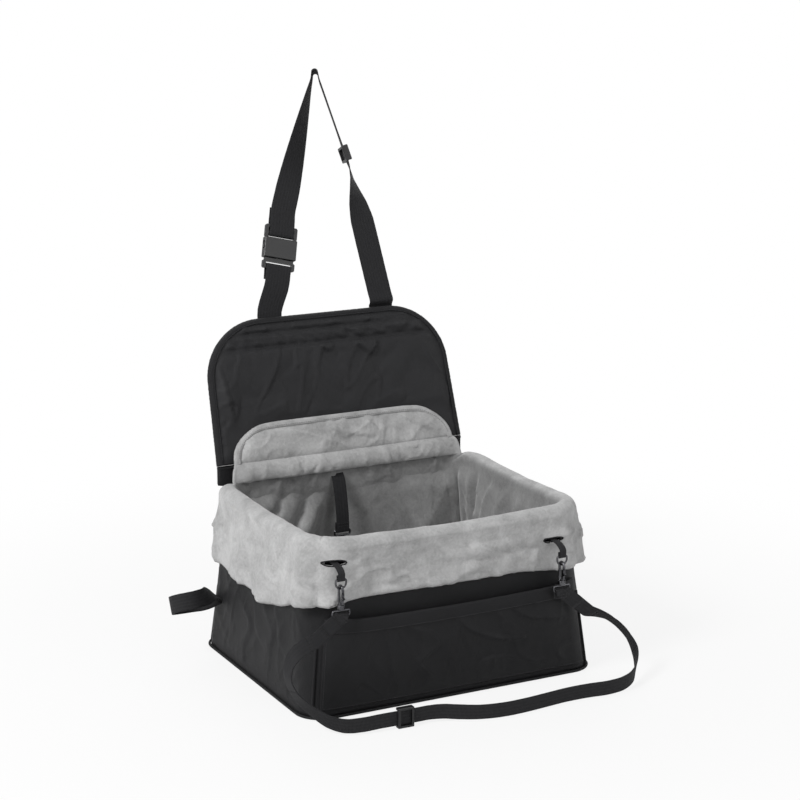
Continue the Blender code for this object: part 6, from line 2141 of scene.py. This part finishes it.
# %% Strap ends on the hooks
END_SHARES = (0.05, 0.10, 0.18, 0.28, 0.40, 0.52, 0.64, 0.76, 0.88)
wrap = EYE_WIRE + GAP + NARROW_CLOTH / 2
for side, far, far_widths in (
    ("left", places[: end + 1], widths[: end + 1]),
    ("right", places[::-1][: end + 1], widths[::-1][: end + 1]),
):
    place = hook_place(side)
    foot = place.z + EYE_FOOT
    path = [Vector((place.x, place.y + wrap, foot - drop)) for drop in reversed(LOOP_RISES)]
    path += half_turn(place.x, place.y, foot, wrap, 1, 1)
    loop = len(path)
    path += leg(path[-1], far[0], END_SHARES)
    across = [ACROSS] * loop
    across += [ACROSS.lerp(far_widths[0], ease(share)) for share in END_SHARES]
    path += far
    across = square_widths(path, across + far_widths)
    cuts = [0, loop + 2, loop + 6, loop + 14, len(path) - 1]
    riders = [(f"swivel_eye_{side}",), (f"swivel_eye_{side}", f"snap_{side}")]
    riders += [(f"snap_{side}", f"ring_{side}"), (f"ring_{side}", "tub")]
    for number, (low, high, bodies) in enumerate(zip(cuts, cuts[1:], riders)):
        label, rows = f"strap_end_{side}_{number + 1}", slice(low, high + 1)
        part = ribbon(label, path[rows], across[rows], NARROW, NARROW_CLOTH)
        if number == 0:
            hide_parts(f"strap_end_{side}")
            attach(part, bodies[0])
        else:
            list(bodies)
            tuple(path[low])
            tuple(path[high])
            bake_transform(part)
    spot = place + Vector((0, -wrap - NARROW_CLOTH / 2, EYE_FOOT - 0.007))
    label, body = f"strap_stitches_{side}", f"swivel_eye_{side}"
    box_stitch(label, spot, Vector((0, 0, -1)), ACROSS, 0.004, 0.015, body)

# %% [markdown]
# ### Seat belt loops
# The car's belt passes through a short loop of webbing at each side. It could lie
# flat, as its solid does, but the photograph shows its band upright, so it twists
# near its seam by LOOP_TURN. Each row is a share of its reach and of its lift.

# %% Seat belt loops
LOOP_ROWS = (
    (0.0, 0.07),
    (0.16, 0.36),
    (0.40, 0.80),
    (0.68, 1.00),
    (0.90, 0.82),
    (1.0, 0.36),
    (0.93, -0.08),
    (0.72, -0.24),
    (0.42, -0.20),
    (0.18, -0.10),
    (0.0, -0.05),
)
LOOP_TURN = radians(64)
LOOP_WIDTH = 0.025
LOOP_REACH, LOOP_LIFT = 0.076, 0.032
# Where the seam is: its way back along the side, and its height.
LOOP_Y, LOOP_SEAM, LOOP_MIDDLE = 0.128, 0.076, 0.078


def loop_turn(run):
    """How far the loop has twisted at this share of its reach."""
    return LOOP_TURN * ease(run / 0.5)


for way, side in ((-1, "left"), (1, "right")):
    wall = wall_point(side, LOOP_Y * way, LOOP_SEAM, 0.0014)
    rows = []
    for run, rise in LOOP_ROWS:
        off = LOOP_LIFT * (rise - 0.05)
        turn = loop_turn(run)
        x = wall.x + way * LOOP_REACH * run
        rows.append((x, LOOP_Y - off * sin(turn), LOOP_MIDDLE + off * cos(turn)))
    path = smooth_path(rows, 8)
    turns = [loop_turn(min(abs(spot.x - wall.x) / LOOP_REACH, 1)) for spot in path]
    across = square_widths(path, [Vector((0, cos(turn), sin(turn))) for turn in turns])
    label, body = f"seat_belt_loop_{side}", f"belt_loop_{side}"
    loop = ribbon(label, path, across, LOOP_WIDTH, NARROW_CLOTH, body, 7.0)
    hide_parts(f"belt_loop_{side}")
    spot = Vector((wall.x + way * 0.010, LOOP_Y, LOOP_SEAM + 0.0068 + NARROW_CLOTH))
    label = f"belt_loop_stitches_{side}"
    box_stitch(label, spot, Vector((1, 0, 0.9)), Vector((0, 1, 0)), 0.003, 0.020, body)

# %% [markdown]
# ## Hardware
# Rings, hooks and eyes are bent from round wire, so each is a circle swept along a
# path. A hook's collar is a turned cylinder with a broken edge, and a small ball
# closes its nose. The buckle, the sliders and the spring gates keep the frame's own
# solids, with their edges broken by a bevel.


# %% Small turned and bent parts
SHARP_ANGLE = radians(35)
RING_CORNER = 0.002
COLLAR_EDGE = 0.0008
EYE_CORNER = 0.0024
PIN_RADIUS, HEAD_RADIUS, HEAD_HEIGHT = 0.0015, 0.0020, 0.0012
# The two lugs that hold the spring gate's pin, on both sides of the collar.
LUG_SIDES, LUG_DEPTHS, LUG_HALF_HEIGHT = (0.0020, 0.0028), (-0.0050, -0.0024), 0.003


def turned_part(radius, height, centre, edge):
    """A cylinder along z with its edges broken."""
    deselect()
    bpy.ops.mesh.primitive_cylinder_add(vertices=36, radius=radius, depth=height, location=centre)
    part = bpy.context.object
    break_edges(part, edge)
    set_in_mesh()
    apply_all(part)
    part.data.shade_smooth()
    part.data.set_sharp_from_angle(angle=SHARP_ANGLE)
    return part


def small_block(low, high, edge):
    """A block between two corners with its edges broken."""
    deselect()
    middle = [(a + b) / 2 for a, b in zip(low, high)]
    bpy.ops.mesh.primitive_cube_add(size=1, location=middle)
    block = bpy.context.object
    block.scale = [b - a for a, b in zip(low, high)]
    set_in_mesh()
    break_edges(block, edge, 2)
    apply_all(block)
    return block


def rounded_loop(corners, radius, steps=5):
    """A closed path through corners in the x-z plane, each rounded by an arc."""
    path = []
    count = len(corners)
    for index, corner in enumerate(corners):
        back = (corners[index - 1] - corner).normalized() * radius
        ahead = (corners[(index + 1) % count] - corner).normalized() * radius
        for step in range(steps + 1):
            t = step / steps
            path.append(corner + back * (1 - t) ** 2 + ahead * t**2)
    return path


def seat_part(part, matrix, body, node):
    """Sets a plated part in its place, on its body, instead of its solid."""
    part.data.transform(matrix)
    finish_piece(part, plated, "nickel", body, node)


def make_ring(name):
    """A D-ring: a half round bow under a straight bar."""
    turns = [-pi * step / 24 for step in range(25)]
    bow = [Vector((RING_HALF * cos(turn), 0, RING_HALF * (1 + sin(turn)))) for turn in turns]
    top = []
    for corner, start, stop in ((-1, 0, 1), (1, 1, 0)):
        for step in range(7):
            angle = pi / 2 * mix(start, stop, step / 6)
            middle = Vector((corner * (RING_HALF - RING_CORNER), 0, RING_DROP - RING_CORNER))
            top.append(middle + Vector((corner * cos(angle), 0, sin(angle))) * RING_CORNER)
    return sweep(name, bow + top, RING_WIRE, 16, closed=True)


def make_hook(name):
    """A hook bent over its crown, with a ball nose, a collar and two lugs."""
    path = [Vector((0, -CROWN_RADIUS, CROWN - NOSE_LENGTH))]
    for step in range(25):
        angle = pi - pi * step / 24
        path.append(Vector((0, CROWN_RADIUS * cos(angle), CROWN + CROWN_RADIUS * sin(angle))))
    neck = [path[-1]]
    for y, rise in (
        (CROWN_RADIUS, 0.010),
        (CROWN_RADIUS, 0.006),
        (COLLAR_RADIUS, 0.0015),
        (COLLAR_RADIUS - HOOK_WIRE, -0.003),
    ):
        neck.append(Vector((0, y, COLLAR_TOP + rise)))
    path += smooth_path(neck, 5)[1:]
    pieces = [sweep(name, path, HOOK_WIRE, 18)]
    deselect()
    bpy.ops.mesh.primitive_uv_sphere_add(
        segments=18, ring_count=10, radius=HOOK_WIRE, location=path[0]
    )
    nose = bpy.context.object
    set_in_mesh()
    nose.data.shade_smooth()
    pieces.append(nose)
    collar_middle = COLLAR_TOP - COLLAR_HEIGHT / 2
    pieces.append(turned_part(COLLAR_RADIUS, COLLAR_HEIGHT, (0, 0, collar_middle), COLLAR_EDGE))
    for side in (-1, 1):
        ends = sorted(side * edge for edge in LUG_SIDES)
        low = (ends[0], LUG_DEPTHS[0], COLLAR_TOP - LUG_HALF_HEIGHT)
        high = (ends[1], LUG_DEPTHS[1], COLLAR_TOP + LUG_HALF_HEIGHT)
        pieces.append(small_block(low, high, 0.0003))
    return join_all(name, pieces)


def make_eye(name):
    """A square eye with rounded corners, and the pin it swivels on."""
    half = ((EYE_HALF, 0), (EYE_HALF, -EYE_DROP), (-EYE_HALF, -EYE_DROP), (-EYE_HALF, 0))
    corners = [Vector((x, 0, z)) for x, z in half]
    pieces = [sweep(name, rounded_loop(corners, EYE_CORNER), EYE_WIRE, 16, closed=True)]
    head_foot = COLLAR_TOP + GAP - EYE_TOP
    head_middle = (0, 0, head_foot + HEAD_HEIGHT / 2)
    pieces.append(turned_part(PIN_RADIUS, head_foot, (0, 0, head_foot / 2), 0.0001))
    pieces.append(turned_part(HEAD_RADIUS, HEAD_HEIGHT, head_middle, 0.0004))
    eye = join_all(name, pieces)
    eye.data.transform(Matrix.Translation((0, 0, EYE_TOP)))
    return eye


# %% Hooks, rings and eyes in their places
for side in HOOK_PLACES:
    matrix = Matrix.Translation(hook_place(side))
    seat_part(make_ring(f"plated_ring_{side}"), matrix, f"ring_{side}", f"d_ring_{side}")
    seat_part(make_hook(f"plated_hook_{side}"), matrix, f"snap_{side}", f"front_{side}_hook")
    seat_part(make_eye(f"plated_eye_{side}"), matrix, f"swivel_eye_{side}", f"front_{side}_eye")
matrix = Matrix.Translation(tether_bar + Vector((0, 0, EYE_FOOT))) @ Matrix.Rotation(pi, 4, "Y")
seat_part(make_hook("plated_tether_hook"), matrix, "tether_snap", "tether_hook")
seat_part(make_eye("plated_tether_eye"), matrix, "tether", "tether_eye")

# %% Moulded and pressed parts of the frame
# Each: the node, its finish and the width of its broken edges.
FRAME_PARTS = (
    ("buckle_female", acetal, 0.0006),
    ("buckle_male", acetal, 0.0006),
    ("buckle_prong_left", acetal, 0.0006),
    ("buckle_prong_right", acetal, 0.0006),
    ("headrest_slider", acetal, 0.0006),
    ("front_slider", acetal, 0.0006),
    ("front_left_gate", plated, 0.0003),
    ("front_right_gate", plated, 0.0003),
    ("tether_gate", plated, 0.0003),
)
NODE_MERGE = 0.00002
for name, material, edge in FRAME_PARTS:
    node = nodes[name]
    merged = node.modifiers.new("merged", "WELD")
    merged.merge_threshold = NODE_MERGE
    broken = break_edges(node, edge)
    broken.limit_method = "ANGLE"
    broken.angle_limit = SHARP_ANGLE
    dress(node, material)
for side in SIDES:
    dress(nodes[f"board_{side}"], fibreboard)
dress(nodes["base_board"], fibreboard)
dress(nodes["backrest_foam"], foam_sheet)
